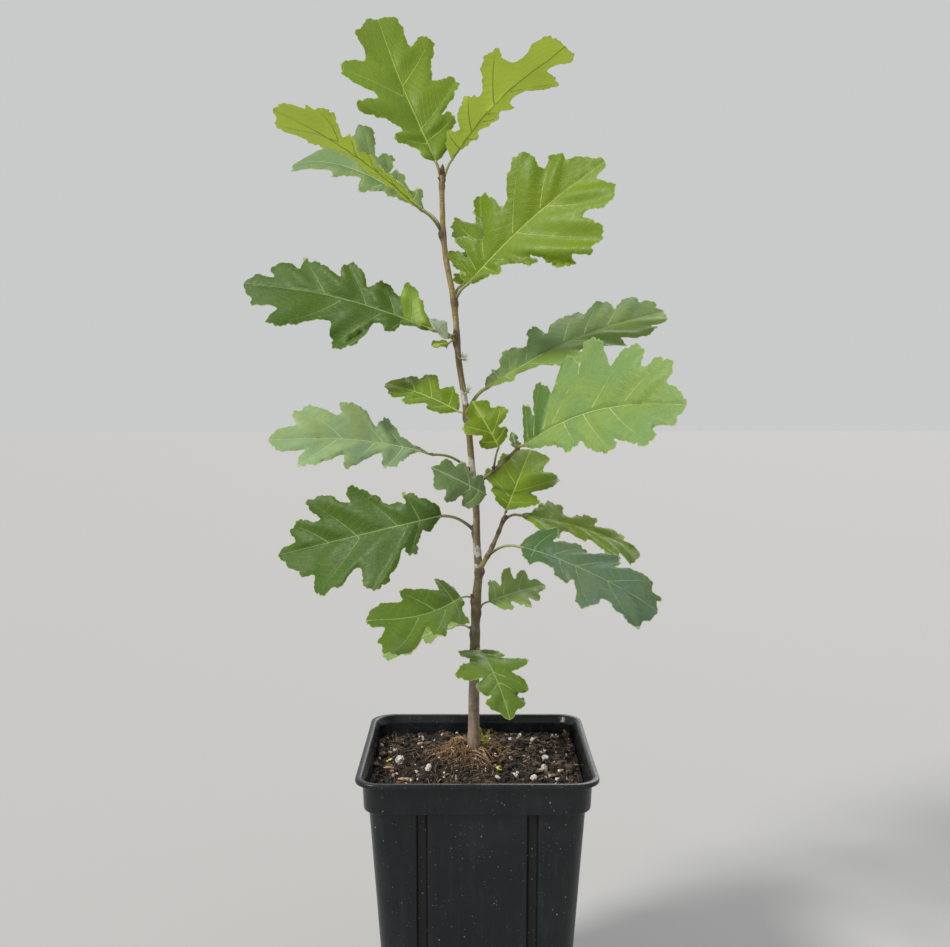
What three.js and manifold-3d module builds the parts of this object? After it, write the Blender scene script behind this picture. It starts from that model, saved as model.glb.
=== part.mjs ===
// A young oak in a square nursery pot, in millimetres.
// The origin is the middle of the pot's flat underside. +Z is up, +X is to the right of the
// photograph's view and +Y points away from it.

import * as THREE from "three";
import Module from "manifold-3d";
import { mergeVertices } from "three/addons/utils/BufferGeometryUtils.js";

const wasm = await Module();
wasm.setup();

// The gap kept between two pieces that touch on the real plant, and how near two points are one.
const GAP = 0.3;
const SAME_POINT = 1e-4;

// The pot: a tapering square tub with a deep band and a thin lip at its mouth.
const POT_HEIGHT = 200;
const LIP_HALF = 75;
const LIP_HEIGHT = 3;
const LIP_ROUND = 0.8;
const BAND_TOP_HALF = 70.8;
const BAND_FOOT_HALF = 70;
const BAND_HEIGHT = 21;
const BAND_CHAMFER = 1.6;
const BODY_TOP_HALF = 67;
const BODY_FOOT_HALF = 54.8;
const FOOT_CHAMFER = 1.5;
const WALL = 1.7;
const POT_FLOOR = 2.4;
const LIP_CORNER = 16;
const BAND_CORNER = 14;
const BODY_CORNER = 13;
const CORNER_STEPS = 4;

// Two upright channels are pressed into each side of the pot's body.
const CHANNEL_OFFSET = 34;
const CHANNEL_HALF_WIDTH = 4.6;
const CHANNEL_SLOPE = 1.8;
const CHANNEL_DEPTH = 2.6;

// Drain holes in the pot's floor: one near each corner and one at the middle of each side.
const DRAIN_RADIUS = 6;
const DRAIN_REACH = 36;
const DRAIN_SIDES = 12;

// The root ball fills the pot to a little below its rim and rises to the foot of the stem.
const SOIL_EDGE_LEVEL = 187.5;
const SOIL_MOUND = 8.2;
const SOIL_SEAT_SHARE = 0.14;
const SOIL_RINGS = [0.97, 0.8, 0.6, 0.38, SOIL_SEAT_SHARE];
const SOIL_BUMP = 1.1;

// The plant is set out from the flat cut at the foot of its stem.
const CUT_LEVEL = SOIL_EDGE_LEVEL + SOIL_MOUND + GAP;

// The main stem, from its foot to its tip: height, sideways place, depth and radius at each bend.
const STEM_SIDES = 10;
const STEM_STEPS_PER_BEND = 2;
const STEM = [
  { height: 0, x: -1.8, y: 0, radius: 5.4 },
  { height: 4, x: -1.8, y: 0, radius: 4.4 },
  { height: 12, x: -1.9, y: 0.1, radius: 3.9 },
  { height: 40, x: -1.8, y: -0.5, radius: 3.5 },
  { height: 78, x: -1.0, y: 0.4, radius: 3.1 },
  { height: 102, x: -0.3, y: 0.2, radius: 2.9 },
  { height: 120, x: 1.2, y: -0.4, radius: 2.6 },
  { height: 142, x: -0.1, y: 0.4, radius: 2.4 },
  { height: 160, x: -0.3, y: 0.6, radius: 2.15 },
  { height: 188, x: -2.9, y: 0.2, radius: 2.1 },
  { height: 216, x: -5.4, y: -0.6, radius: 2.05 },
  { height: 240, x: -8.8, y: 0.2, radius: 2.0 },
  { height: 262, x: -12.0, y: 0.8, radius: 2.0 },
  { height: 280, x: -13.2, y: 0.2, radius: 1.95 },
  { height: 300, x: -15.2, y: -0.6, radius: 1.9 },
  { height: 322, x: -19.4, y: 0.2, radius: 1.85 },
  { height: 341, x: -21.5, y: 0.8, radius: 1.75 },
  { height: 378, x: -22.4, y: 0, radius: 1.65 },
];

// The bud at the stem's tip, with two side buds round it.
const BUD_SIDES = 6;
const BUD_PROFILE = [0.55, 1, 0.85, 0.45, 0.12];
const BUDS = [
  { lean: [0.1, 0, 1], length: 7, radius: 1.8 },
  { lean: [0.3, 0.7, 0.7], length: 5, radius: 1.4 },
  { lean: [-0.1, -0.75, 0.7], length: 5, radius: 1.4 },
];

// Side shoots: where each leaves its host, its tip measured from the stem's foot, its arch and radii.
const SHOOT_SIDES = 8;
const SHOOT_STEPS = 6;
const SHOOTS = [
  { name: "shoot_low_right", host: "stem", at: 122, tip: [18, -6, 158], arch: -3, radii: [2.1, 1.4] },
  { name: "shoot_middle_right", host: "stem", at: 178, tip: [26, -14, 203], arch: -1.5, radii: [1.4, 1.1] },
];

// The leaves. Each has its limb and its place there, as a height on the stem or a share of a shoot,
// and where its blade starts and ends, from the stem's foot. Next come how far each lobe reaches from
// the midrib, on the left and right sides and past the midrib's end, and the way the upper side faces.
// Last is how far the midrib bows, how steeply the halves fold up, how far the edges wave, and a seed.
const LEAVES = [
  {
    name: "leaf_top_left", limb: "stem", at: 371, base: [-26, -1, 385], tip: [-66, 45, 487],
    left: [25, 42, 45, 35], right: [20, 35, 36, 28], end: 25,
    face: [0.2, -0.9, 0.35], bow: 3, fold: 8, wave: 3, seed: 1,
  },
  {
    name: "leaf_top_right", limb: "stem", at: 370, base: [-16, -2, 386], tip: [54, -40, 445],
    left: [10, 16, 21, 13], right: [17, 28, 40, 26], end: 18,
    face: [-0.5, 0.75, 0.4], bow: 4, fold: 10, wave: 3, seed: 2,
  },
  {
    name: "leaf_upper_left_front", limb: "stem", at: 339, base: [-35, -5, 354], tip: [-122, -45, 408],
    left: [12, 24, 33, 26], right: [10, 20, 27, 24], end: 18,
    face: [0.3, 0.35, 0.85], bow: 3, fold: 8, wave: 3, seed: 3,
  },
  {
    name: "leaf_upper_left_back", limb: "stem", at: 341, base: [-33, 8, 355], tip: [-127, 65, 395],
    left: [9, 13, 17, 17], right: [18, 32, 38, 26], end: 18,
    face: [0.1, -0.85, 0.5], bow: 18, fold: 4, wave: 4, seed: 4,
  },
  {
    name: "leaf_upper_right", limb: "stem", at: 296, base: [-6, -8, 307], tip: [78, -35, 379],
    left: [20, 37, 47, 34], right: [15, 23, 40, 51, 43], end: 22,
    face: [-0.2, -0.9, 0.4], bow: 3, fold: 7, wave: 3, seed: 5,
  },
  {
    name: "leaf_upper_back", limb: "stem", at: 299, base: [-9, 14, 308], tip: [23, 105, 373],
    left: [16, 26, 30, 22], right: [14, 24, 30, 24], end: 18,
    face: [-0.2, -0.5, 0.8], bow: 6, fold: 8, wave: 3, seed: 6,
  },
  {
    name: "leaf_high_left", limb: "stem", at: 271, base: [-27, -4, 278], tip: [-158, 40, 311],
    left: [15, 38, 45, 30], right: [24, 34, 46, 39], end: 23,
    face: [0.1, -0.9, 0.35], bow: 6, fold: 4, wave: 4, seed: 7,
  },
  {
    name: "leaf_tiny_left", limb: "stem", at: 275, base: [-18, -9, 273], tip: [-30, -16, 285],
    left: [5, 5], right: [5, 6], end: 4,
    face: [0.1, -0.8, 0.6], bow: 1, fold: 6, wave: 1, seed: 8,
  },
  {
    name: "leaf_high_right", limb: "stem", at: 225, base: [6, 8, 241], tip: [131, 60, 294],
    left: [16, 24, 33, 36, 28], right: [14, 22, 30, 34, 24], end: 22,
    face: [-0.25, -0.6, 0.75], bow: 7, fold: 12, wave: 3, seed: 9,
  },
  {
    name: "leaf_big_right", limb: "shoot_middle_right", at: 1, base: [30, -18, 205], tip: [115, -115, 233],
    left: [35, 46, 53, 47, 37], right: [12, 19, 27, 30, 25], end: 25,
    face: [-0.4, -0.8, 0.4], bow: 6, fold: 7, wave: 4, seed: 10,
  },
  {
    name: "leaf_small_high_left", limb: "stem", at: 222, base: [-12, 3, 226], tip: [-62, 35, 244],
    left: [13, 13, 11], right: [14, 17, 16], end: 11,
    face: [0.1, -0.7, 0.7], bow: 3, fold: 8, wave: 2, seed: 11,
  },
  {
    name: "leaf_small_front", limb: "shoot_middle_right", at: 0.45, base: [14, -19, 204], tip: [-3, -14, 233],
    left: [9, 14, 12], right: [8, 13, 12], end: 9,
    face: [0, -0.9, 0.3], bow: 2, fold: 8, wave: 2, seed: 12,
  },
  {
    name: "leaf_middle_left", limb: "stem", at: 186, base: [-28, -14, 199], tip: [-126, -55, 210],
    left: [18, 28, 34, 20], right: [20, 31, 30, 17], end: 18,
    face: [0.1, -0.8, 0.6], bow: 6, fold: 8, wave: 3, seed: 13,
  },
  {
    name: "leaf_front_small_left", limb: "stem", at: 168, base: [6, -12, 173], tip: [-29, -27, 192],
    left: [15, 18, 14], right: [8, 11, 9], end: 9,
    face: [0.3, -0.9, 0.2], bow: 2, fold: 6, wave: 2, seed: 14,
  },
  {
    name: "leaf_low_left", limb: "stem", at: 147, base: [-23, 8, 157], tip: [-138, 45, 125],
    left: [18, 46, 45, 29], right: [22, 42, 49, 41], end: 21,
    face: [-0.1, -0.9, 0.4], bow: 4, fold: 6, wave: 3, seed: 15,
  },
  {
    name: "leaf_shoot_up", limb: "shoot_low_right", at: 1, base: [19, -5, 162], tip: [37, 40, 199],
    left: [24, 28, 20], right: [19, 28, 22], end: 14,
    face: [0.1, -0.8, 0.4], bow: 3, fold: 8, wave: 2, seed: 16,
  },
  {
    name: "leaf_shoot_out", limb: "shoot_low_right", at: 0.93, base: [28, 4, 158], tip: [116, 60, 124],
    left: [18, 26, 24, 16], right: [16, 23, 23, 16], end: 17,
    face: [0.3, -0.45, 0.8], bow: 8, fold: 10, wave: 3, seed: 17,
  },
  {
    name: "leaf_low_right", limb: "shoot_low_right", at: 0.35, base: [27, -16, 140], tip: [109, -65, 108],
    left: [19, 23, 30, 31], right: [13, 23, 34, 33], end: 19,
    face: [0.3, -0.7, 0.6], bow: 8, fold: 5, wave: 4, seed: 18,
  },
  {
    name: "leaf_lowest_right", limb: "stem", at: 94, base: [8, 6, 100], tip: [48, 40, 105],
    left: [12, 14, 12], right: [9, 13, 11], end: 9,
    face: [-0.1, -0.8, 0.5], bow: 2, fold: 8, wave: 2, seed: 19,
  },
  {
    name: "leaf_lowest_left", limb: "stem", at: 102, base: [-10, -6, 105], tip: [-70, -35, 96],
    left: [17, 22, 23], right: [15, 24, 24], end: 13,
    face: [-0.2, -0.7, 0.6], bow: 4, fold: 7, wave: 3, seed: 20,
  },
  {
    name: "leaf_lowest_left_back", limb: "stem", at: 80, base: [-12, 8, 84], tip: [-65, 35, 56],
    left: [12, 18, 17], right: [14, 18, 16], end: 12,
    face: [-0.3, -0.7, 0.6], bow: 4, fold: 6, wave: 3, seed: 21,
  },
  {
    name: "leaf_bottom", limb: "stem", at: 68, base: [2, -9, 71], tip: [20, -58, 39],
    left: [15, 27, 20], right: [24, 30, 18], end: 13,
    face: [0.2, -0.6, 0.75], bow: 5, fold: 7, wave: 3, seed: 22,
  },
];

// A blade's side veins fan out from the midrib to the lobed edge.
const RIB_STEPS = 10;
const EDGE_STEPS_PER_LOBE = 6;
const VEIN_ANGLE = THREE.MathUtils.degToRad(58);
const VEIN_ANGLE_HOLD = 3;
const FOOT_SHARE = 0.4;
const BAY_DEPTH = 0.47;
const LOBE_BREADTH = 2.2;
const WAVES = 1.5;
const BLADE_THICKNESS_SHARE = 0.0115;
const BLADE_LEAST_THICKNESS = 0.9;
const MIDRIB_DEPTH_SHARE = 0.6;

// A leaf's stalk arches up a little and sinks into the foot of the blade.
const STALK_SIDES = 6;
const STALK_STEPS = 3;
const STALK_ARCH_SHARE = 0.12;
const STALK_RADIUS_SHARE = 0.008;
const STALK_LEAST_RADIUS = 0.65;
const STALK_SUNK_SHARE = 0.1;
const STALK_END_SHARE = 0.5;

const MATERIALS = {
  pot: new THREE.MeshStandardMaterial({ color: 0x25272a, roughness: 0.55, metalness: 0 }),
  soil: new THREE.MeshStandardMaterial({ color: 0x2c2119, roughness: 1, metalness: 0 }),
  bark: new THREE.MeshStandardMaterial({ color: 0x6f5a44, roughness: 0.8, metalness: 0 }),
  shoot: new THREE.MeshStandardMaterial({ color: 0x6d6a3c, roughness: 0.7, metalness: 0 }),
  leaf: new THREE.MeshStandardMaterial({ color: 0x5f8f35, roughness: 0.5, metalness: 0 }),
};

// A repeatable number from 0 to 1 for a seed and a place in its row.
function chance(seed, place) {
  const wave = Math.sin(seed * 12.9898 + place * 78.233) * 43758.5453;
  return wave - Math.floor(wave);
}

// An ease from 0 to 1 that starts and ends gently.
function ease(share) {
  const s = Math.min(1, Math.max(0, share));
  return s * s * (3 - 2 * s);
}

// A closed solid through rings of points that have the same count, capped by a fan at each end.
function loft(rings) {
  const count = rings[0].length;
  const points = rings.flat();
  const faces = [];
  for (let r = 0; r + 1 < rings.length; r += 1) {
    for (let i = 0; i < count; i += 1) {
      const a = r * count + i;
      const b = r * count + ((i + 1) % count);
      faces.push([a, b, b + count], [a, b + count, a + count]);
    }
  }
  const middle = (ring) => ring.reduce((sum, p) => sum.add(p), new THREE.Vector3()).divideScalar(count);
  const first = points.push(middle(rings[0])) - 1;
  const last = points.push(middle(rings.at(-1))) - 1;
  const top = (rings.length - 1) * count;
  for (let i = 0; i < count; i += 1) {
    const next = (i + 1) % count;
    faces.push([first, next, i], [last, top + i, top + next]);
  }
  return solidFrom(points, faces);
}

// A manifold solid from points and triangles that face outwards.
function solidFrom(points, faces) {
  const geometry = new THREE.BufferGeometry();
  geometry.setAttribute("position", new THREE.Float32BufferAttribute(points.flatMap((p) => p.toArray()), 3));
  geometry.setIndex(faces.flat());
  return solidOf(geometry);
}

// A manifold solid from a closed geometry.
function solidOf(geometry) {
  const bare = geometry.clone();
  bare.deleteAttribute("normal");
  bare.deleteAttribute("uv");
  const merged = mergeVertices(bare, SAME_POINT);
  return new wasm.Manifold(
    new wasm.Mesh({
      numProp: 3,
      vertProperties: new Float32Array(merged.getAttribute("position").array),
      triVerts: new Uint32Array(merged.getIndex().array),
    }),
  );
}

// A named mesh from a manifold solid.
function meshOf(name, solid, material) {
  const { vertProperties, triVerts } = solid.getMesh();
  const geometry = new THREE.BufferGeometry();
  geometry.setAttribute("position", new THREE.BufferAttribute(new Float32Array(vertProperties), 3));
  geometry.setIndex(new THREE.BufferAttribute(new Uint32Array(triVerts), 1));
  geometry.computeVertexNormals();
  const mesh = new THREE.Mesh(geometry, material);
  mesh.name = name;
  return mesh;
}

// One level of the pot: a square with rounded corners, and two channels in each of its sides.
function potRing(half, corner, channel, z) {
  const ring = [];
  const mouth = CHANNEL_HALF_WIDTH;
  const bed = CHANNEL_HALF_WIDTH - CHANNEL_SLOPE;
  for (let side = 0; side < 4; side += 1) {
    const turn = (side * Math.PI) / 2;
    const place = (along, out) =>
      ring.push(
        new THREE.Vector3(
          along * Math.cos(turn) + out * Math.sin(turn),
          along * Math.sin(turn) - out * Math.cos(turn),
          z,
        ),
      );
    for (const centre of [-CHANNEL_OFFSET, CHANNEL_OFFSET]) {
      place(centre - mouth, half);
      place(centre - bed, half - channel);
      place(centre + bed, half - channel);
      place(centre + mouth, half);
    }
    for (let step = 0; step <= CORNER_STEPS; step += 1) {
      const angle = (step / CORNER_STEPS) * (Math.PI / 2);
      place(half - corner + corner * Math.sin(angle), half - corner + corner * Math.cos(angle));
    }
  }
  return ring;
}

// Half the width of the pot's body outside, which tapers evenly to the foot.
function bodyHalf(z) {
  return BODY_FOOT_HALF + ((BODY_TOP_HALF - BODY_FOOT_HALF) * z) / (POT_HEIGHT - BAND_HEIGHT);
}

// The pot, hollow and open at the top, with its drain holes cut through the floor.
function makePot() {
  const bandFoot = POT_HEIGHT - BAND_HEIGHT;
  const lipFoot = POT_HEIGHT - LIP_HEIGHT;
  const ledge = bandFoot + WALL;
  const shell = loft([
    potRing(BODY_FOOT_HALF - FOOT_CHAMFER, BODY_CORNER - FOOT_CHAMFER, CHANNEL_DEPTH, 0),
    potRing(bodyHalf(FOOT_CHAMFER), BODY_CORNER, CHANNEL_DEPTH, FOOT_CHAMFER),
    potRing(BODY_TOP_HALF, BODY_CORNER, CHANNEL_DEPTH, bandFoot),
    potRing(BODY_TOP_HALF, BODY_CORNER, 0, bandFoot),
    potRing(BAND_FOOT_HALF - BAND_CHAMFER / 2, BODY_CORNER, 0, bandFoot),
    potRing(BAND_FOOT_HALF, BAND_CORNER, 0, bandFoot + BAND_CHAMFER),
    potRing(BAND_TOP_HALF, BAND_CORNER, 0, lipFoot),
    potRing(LIP_HALF, LIP_CORNER, 0, lipFoot),
    potRing(LIP_HALF, LIP_CORNER, 0, POT_HEIGHT - LIP_ROUND),
    potRing(LIP_HALF - LIP_ROUND, LIP_CORNER, 0, POT_HEIGHT),
    potRing(BAND_TOP_HALF + WALL / 2, BAND_CORNER, 0, POT_HEIGHT),
    potRing(BAND_TOP_HALF - WALL, BODY_CORNER, 0, lipFoot - WALL),
    potRing(BAND_FOOT_HALF - WALL, BODY_CORNER, 0, ledge + WALL),
    potRing(BODY_TOP_HALF - WALL, BODY_CORNER - WALL, 0, ledge),
    potRing(BODY_TOP_HALF - WALL, BODY_CORNER - WALL, CHANNEL_DEPTH, ledge),
    potRing(bodyHalf(POT_FLOOR) - WALL, BODY_CORNER - WALL, CHANNEL_DEPTH, POT_FLOOR),
  ]);
  return drainHoles().reduce((solid, hole) => solid.subtract(hole), shell);
}

function drainHoles() {
  const holes = [];
  for (const x of [-1, 0, 1]) {
    for (const y of [-1, 0, 1]) {
      if (x === 0 && y === 0) continue;
      const hole = new THREE.CylinderGeometry(DRAIN_RADIUS, DRAIN_RADIUS, POT_FLOOR * 4, DRAIN_SIDES);
      hole.rotateX(Math.PI / 2);
      hole.translate(x * DRAIN_REACH, y * DRAIN_REACH, 0);
      holes.push(solidOf(hole));
    }
  }
  return holes;
}

// The potting mix and roots inside the pot: its sides follow the pot's wall, its top is a low mound.
function makeRootBall() {
  const ledge = POT_HEIGHT - BAND_HEIGHT + WALL;
  const clear = WALL + GAP;
  const foot = POT_FLOOR + GAP;
  const rings = [
    potRing(bodyHalf(foot) - clear, BODY_CORNER - clear, CHANNEL_DEPTH, foot),
    potRing(bodyHalf(ledge - WALL) - clear, BODY_CORNER - clear, CHANNEL_DEPTH, ledge + GAP),
    potRing(BODY_TOP_HALF - clear, BODY_CORNER - clear, 0, ledge + GAP),
    potRing(BAND_FOOT_HALF - clear, BODY_CORNER, 0, ledge + WALL + GAP),
    potRing(BAND_FOOT_HALF - clear, BODY_CORNER, 0, SOIL_EDGE_LEVEL),
  ];
  const edge = rings.at(-1);
  for (const share of SOIL_RINGS) {
    rings.push(
      edge.map((p, i) => {
        const lift = SOIL_MOUND * ease((1 - share) / (1 - SOIL_SEAT_SHARE));
        const bump = share === SOIL_SEAT_SHARE ? 0 : SOIL_BUMP * (chance(i, share) - 0.5);
        return new THREE.Vector3(p.x * share, p.y * share, SOIL_EDGE_LEVEL + lift + bump);
      }),
    );
  }
  return loft(rings);
}

// A round limb along a smooth line, with its radius at each of its rings.
function limbSolid(points, radii, sides) {
  const rings = [];
  let across = new THREE.Vector3(0, 1, 0);
  points.forEach((p, i) => {
    const before = points[Math.max(0, i - 1)];
    const after = points[Math.min(points.length - 1, i + 1)];
    const along = after.clone().sub(before).normalize();
    across = across.clone().addScaledVector(along, -across.dot(along)).normalize();
    const other = along.clone().cross(across);
    const ring = [];
    for (let s = 0; s < sides; s += 1) {
      const angle = (s / sides) * 2 * Math.PI;
      const out = across.clone().multiplyScalar(Math.cos(angle)).addScaledVector(other, Math.sin(angle));
      ring.push(p.clone().addScaledVector(out, radii[i]));
    }
    rings.push(ring);
  });
  return loft(rings);
}

// The main stem's line, with its radius at each point.
function stemLine() {
  const bends = STEM.map((b) => new THREE.Vector3(b.x, b.y, b.height));
  const curve = new THREE.CatmullRomCurve3(bends, false, "centripetal");
  const points = [];
  const radii = [];
  const steps = (STEM.length - 1) * STEM_STEPS_PER_BEND;
  for (let i = 0; i <= steps; i += 1) {
    const place = i / STEM_STEPS_PER_BEND;
    const below = STEM[Math.floor(place)];
    const above = STEM[Math.min(STEM.length - 1, Math.floor(place) + 1)];
    points.push(curve.getPoint(i / steps));
    radii.push(THREE.MathUtils.lerp(below.radius, above.radius, place - Math.floor(place)));
  }
  return { points, radii, sides: STEM_SIDES, buds: BUDS, isStem: true };
}

// A side shoot's line: an arch from the middle of its host to its tip.
function shootLine(shoot, limbs) {
  const from = pointOn(limbs[shoot.host], shoot.at);
  const to = new THREE.Vector3(...shoot.tip);
  const middle = from.clone().lerp(to, 0.5).add(new THREE.Vector3(0, 0, 2 * shoot.arch));
  const curve = new THREE.QuadraticBezierCurve3(from, middle, to);
  const points = curve.getPoints(SHOOT_STEPS);
  const radii = points.map((_, i) => THREE.MathUtils.lerp(...shoot.radii, i / SHOOT_STEPS));
  return { points, radii, sides: SHOOT_SIDES, buds: [], isStem: false };
}

// The point on a limb at a height, for the stem, or at a share of its length, for a shoot.
function pointOn(limb, at) {
  const { points } = limb;
  if (limb.isStem) {
    const next = Math.max(1, points.findIndex((p) => p.z >= at));
    const [a, b] = [points[next - 1], points[next]];
    return a.clone().lerp(b, (at - a.z) / (b.z - a.z));
  }
  const place = Math.min(at * (points.length - 1), points.length - 1);
  const low = Math.min(Math.floor(place), points.length - 2);
  return points[low].clone().lerp(points[low + 1], place - low);
}

// A pointed bud: a spindle that stands on a point and leans along a direction.
function budSolid(foot, bud, extra) {
  const lean = new THREE.Vector3(...bud.lean).setLength(bud.length + extra);
  const last = BUD_PROFILE.length - 1;
  const points = BUD_PROFILE.map((_, i) => foot.clone().addScaledVector(lean, i / last));
  return limbSolid(points, BUD_PROFILE.map((share) => share * bud.radius + extra), BUD_SIDES);
}

// A limb with its buds, or the same shape made wider all round by an extra thickness.
function wholeLimb(limb, extra) {
  const { points, radii, sides, buds } = limb;
  const tip = points.at(-1);
  const along = tip.clone().sub(points.at(-2)).normalize();
  const line = [...points.slice(0, -1), tip.clone().addScaledVector(along, extra)];
  const swell = extra / Math.cos(Math.PI / sides);
  return buds.reduce(
    (solid, bud) => solid.add(budSolid(tip, bud, extra)),
    limbSolid(line, radii.map((radius) => radius + swell), sides),
  );
}

// The angle at which a side vein leaves the midrib, at a share of the midrib's length.
function veinAngle(share) {
  return VEIN_ANGLE * Math.sqrt(1 - share ** VEIN_ANGLE_HOLD);
}

// How far the edge lies from the midrib along a side vein: round lobes with narrow bays between them.
function veinReach(share, lobes, end) {
  const phase = share * (lobes.length + 0.5);
  const reaches = [lobes[0] * FOOT_SHARE, ...lobes, end];
  const place = phase < 0.5 ? phase * 2 : phase + 0.5;
  const below = Math.min(Math.floor(place), reaches.length - 2);
  const reach = THREE.MathUtils.lerp(reaches[below], reaches[below + 1], ease(place - below));
  const bay = (Math.cos(Math.PI * phase) ** 2) ** LOBE_BREADTH;
  return reach * (1 - BAY_DEPTH * bay);
}

// A leaf's frame: the stalk's start, the midrib's curve and the direction of the leaf's right side.
function leafFrame(leaf, limbs) {
  const base = new THREE.Vector3(...leaf.base);
  const tip = new THREE.Vector3(...leaf.tip);
  const along = tip.clone().sub(base).normalize();
  const face = new THREE.Vector3(...leaf.face);
  const up = face.addScaledVector(along, -face.dot(along)).normalize();
  const middle = base.clone().lerp(tip, 0.5).addScaledVector(up, 2 * leaf.bow);
  return {
    from: pointOn(limbs[leaf.limb], leaf.at),
    midrib: new THREE.QuadraticBezierCurve3(base, middle, tip),
    right: along.cross(up),
    length: base.distanceTo(tip),
  };
}

// A point of the blade: along and across it, and at a height over its middle skin.
function bladePoint(frame, leaf, along, across, height) {
  const share = Math.min(1, along / frame.length);
  const up = frame.right.clone().cross(frame.midrib.getTangent(share)).normalize();
  const fold = THREE.MathUtils.degToRad(leaf.fold);
  const start = chance(leaf.seed, Math.sign(across));
  const wave = leaf.wave * Math.sin(2 * Math.PI * (WAVES * share + start));
  const widest = Math.max(...leaf.left, ...leaf.right);
  return frame.midrib
    .getPoint(share)
    .addScaledVector(frame.right, across * Math.cos(fold))
    .addScaledVector(up, Math.abs(across) * (Math.sin(fold) + wave / widest) + height);
}

// One skin of the blade: the numbered points of its midrib and of its left and right edges.
function bladeSkin(points, frame, leaf, height, ridge) {
  const midribEnd = frame.length - leaf.end;
  const put = (share, along, across, level) => {
    points.push(bladePoint(frame, leaf, along, across, level));
    return { share, index: points.length - 1 };
  };
  const rib = [];
  for (let i = 0; i <= RIB_STEPS; i += 1) {
    const share = i / RIB_STEPS;
    rib.push(put(share, share * midribEnd, 0, height - ridge * (1 - share)));
  }
  const edge = (lobes, sign) => {
    const steps = (lobes.length + 0.5) * EDGE_STEPS_PER_LOBE;
    const line = [];
    for (let i = 0; i <= steps; i += 1) {
      const share = i / steps;
      const angle = veinAngle(share);
      const reach = veinReach(share, lobes, leaf.end);
      const along = share * midribEnd + reach * Math.cos(angle);
      line.push(put(share, along, sign * reach * Math.sin(angle), height));
    }
    return line;
  };
  return { rib, left: edge(leaf.left, -1), right: edge(leaf.right, 1) };
}

// Triangles between two lines of numbered points that run side by side.
function strip(one, other, flip) {
  const faces = [];
  const put = (a, b, c) => faces.push(flip ? [a.index, c.index, b.index] : [a.index, b.index, c.index]);
  let [i, j] = [0, 0];
  while (i + 1 < one.length || j + 1 < other.length) {
    const oneIsNext = i + 1 < one.length && (j + 1 === other.length || one[i + 1].share < other[j + 1].share);
    if (oneIsNext) {
      put(one[i], one[i + 1], other[j]);
      i += 1;
    } else {
      put(one[i], other[j + 1], other[j]);
      j += 1;
    }
  }
  return faces;
}

// The blade: an upper and a lower skin a thickness apart, closed all round by a thin wall.
function bladeSolid(frame, leaf) {
  const thickness = Math.max(BLADE_LEAST_THICKNESS, frame.length * BLADE_THICKNESS_SHARE);
  const points = [];
  const top = bladeSkin(points, frame, leaf, thickness / 2, 0);
  const under = bladeSkin(points, frame, leaf, -thickness / 2, MIDRIB_DEPTH_SHARE * stalkRadius(frame));
  const quad = (a, b, c, d) => [[a.index, b.index, c.index], [a.index, c.index, d.index]];
  return solidFrom(points, [
    ...strip(top.rib, top.left, false),
    ...strip(top.rib, top.right, true),
    ...strip(under.rib, under.left, true),
    ...strip(under.rib, under.right, false),
    ...strip(top.left, under.left, false),
    ...strip(top.right, under.right, true),
    ...quad(top.rib[0], top.left[0], under.left[0], under.rib[0]),
    ...quad(top.right[0], top.rib[0], under.rib[0], under.right[0]),
  ]);
}

// How thick a leaf's stalk is, from its middle line.
function stalkRadius(frame) {
  return Math.max(STALK_LEAST_RADIUS, frame.length * STALK_RADIUS_SHARE);
}

// The stalk: from inside its limb to a little way under the blade, where the midrib takes over.
function stalkSolid(frame, leaf) {
  const base = frame.midrib.getPoint(0);
  const arch = frame.from.distanceTo(base) * STALK_ARCH_SHARE;
  const points = [];
  for (let i = 0; i < STALK_STEPS; i += 1) {
    const share = i / STALK_STEPS;
    const point = frame.from.clone().lerp(base, share);
    point.z += arch * Math.sin(Math.PI * share);
    points.push(point);
  }
  for (const share of [0, STALK_SUNK_SHARE]) {
    points.push(bladePoint(frame, leaf, frame.length * share, 0, 0));
  }
  const radii = points.map((_, i) => stalkRadius(frame) * (i < points.length - 1 ? 1 : STALK_END_SHARE));
  return limbSolid(points, radii, STALK_SIDES);
}

// One leaf with its stalk, kept clear of the limb that carries it.
function makeLeaf(leaf, limbs) {
  const frame = leafFrame(leaf, limbs);
  return bladeSolid(frame, leaf).add(stalkSolid(frame, leaf)).subtract(wholeLimb(limbs[leaf.limb], GAP));
}

// The largest of a solid's separate pieces.
function largestPiece(solid) {
  return solid.decompose().reduce((best, piece) => (piece.volume() > best.volume() ? piece : best));
}

const limbs = { stem: stemLine() };
for (const shoot of SHOOTS) limbs[shoot.name] = shootLine(shoot, limbs);

const plant = new THREE.Group();
plant.position.z = CUT_LEVEL;
plant.add(meshOf("trunk", wholeLimb(limbs.stem, 0), MATERIALS.bark));
for (const shoot of SHOOTS) {
  const solid = wholeLimb(limbs[shoot.name], 0).subtract(wholeLimb(limbs[shoot.host], GAP));
  plant.add(meshOf(shoot.name, largestPiece(solid), MATERIALS.shoot));
}
for (const leaf of LEAVES) {
  plant.add(meshOf(leaf.name, largestPiece(makeLeaf(leaf, limbs)), MATERIALS.leaf));
}

const sapling = new THREE.Group();
sapling.add(meshOf("pot", makePot(), MATERIALS.pot));
sapling.add(meshOf("root_ball", makeRootBall(), MATERIALS.soil));
sapling.add(plant);

export default sapling;
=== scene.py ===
"""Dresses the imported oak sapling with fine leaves, bark, buds, potting mix and a pot, on a lit floor.

Lengths in this file are in millimetres, in the part's own frame. Meshes are written to Blender in metres.
"""

import itertools
import math
from collections import namedtuple

import bpy
import numpy as np
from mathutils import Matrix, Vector
from mathutils.geometry import delaunay_2d_cdt


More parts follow.
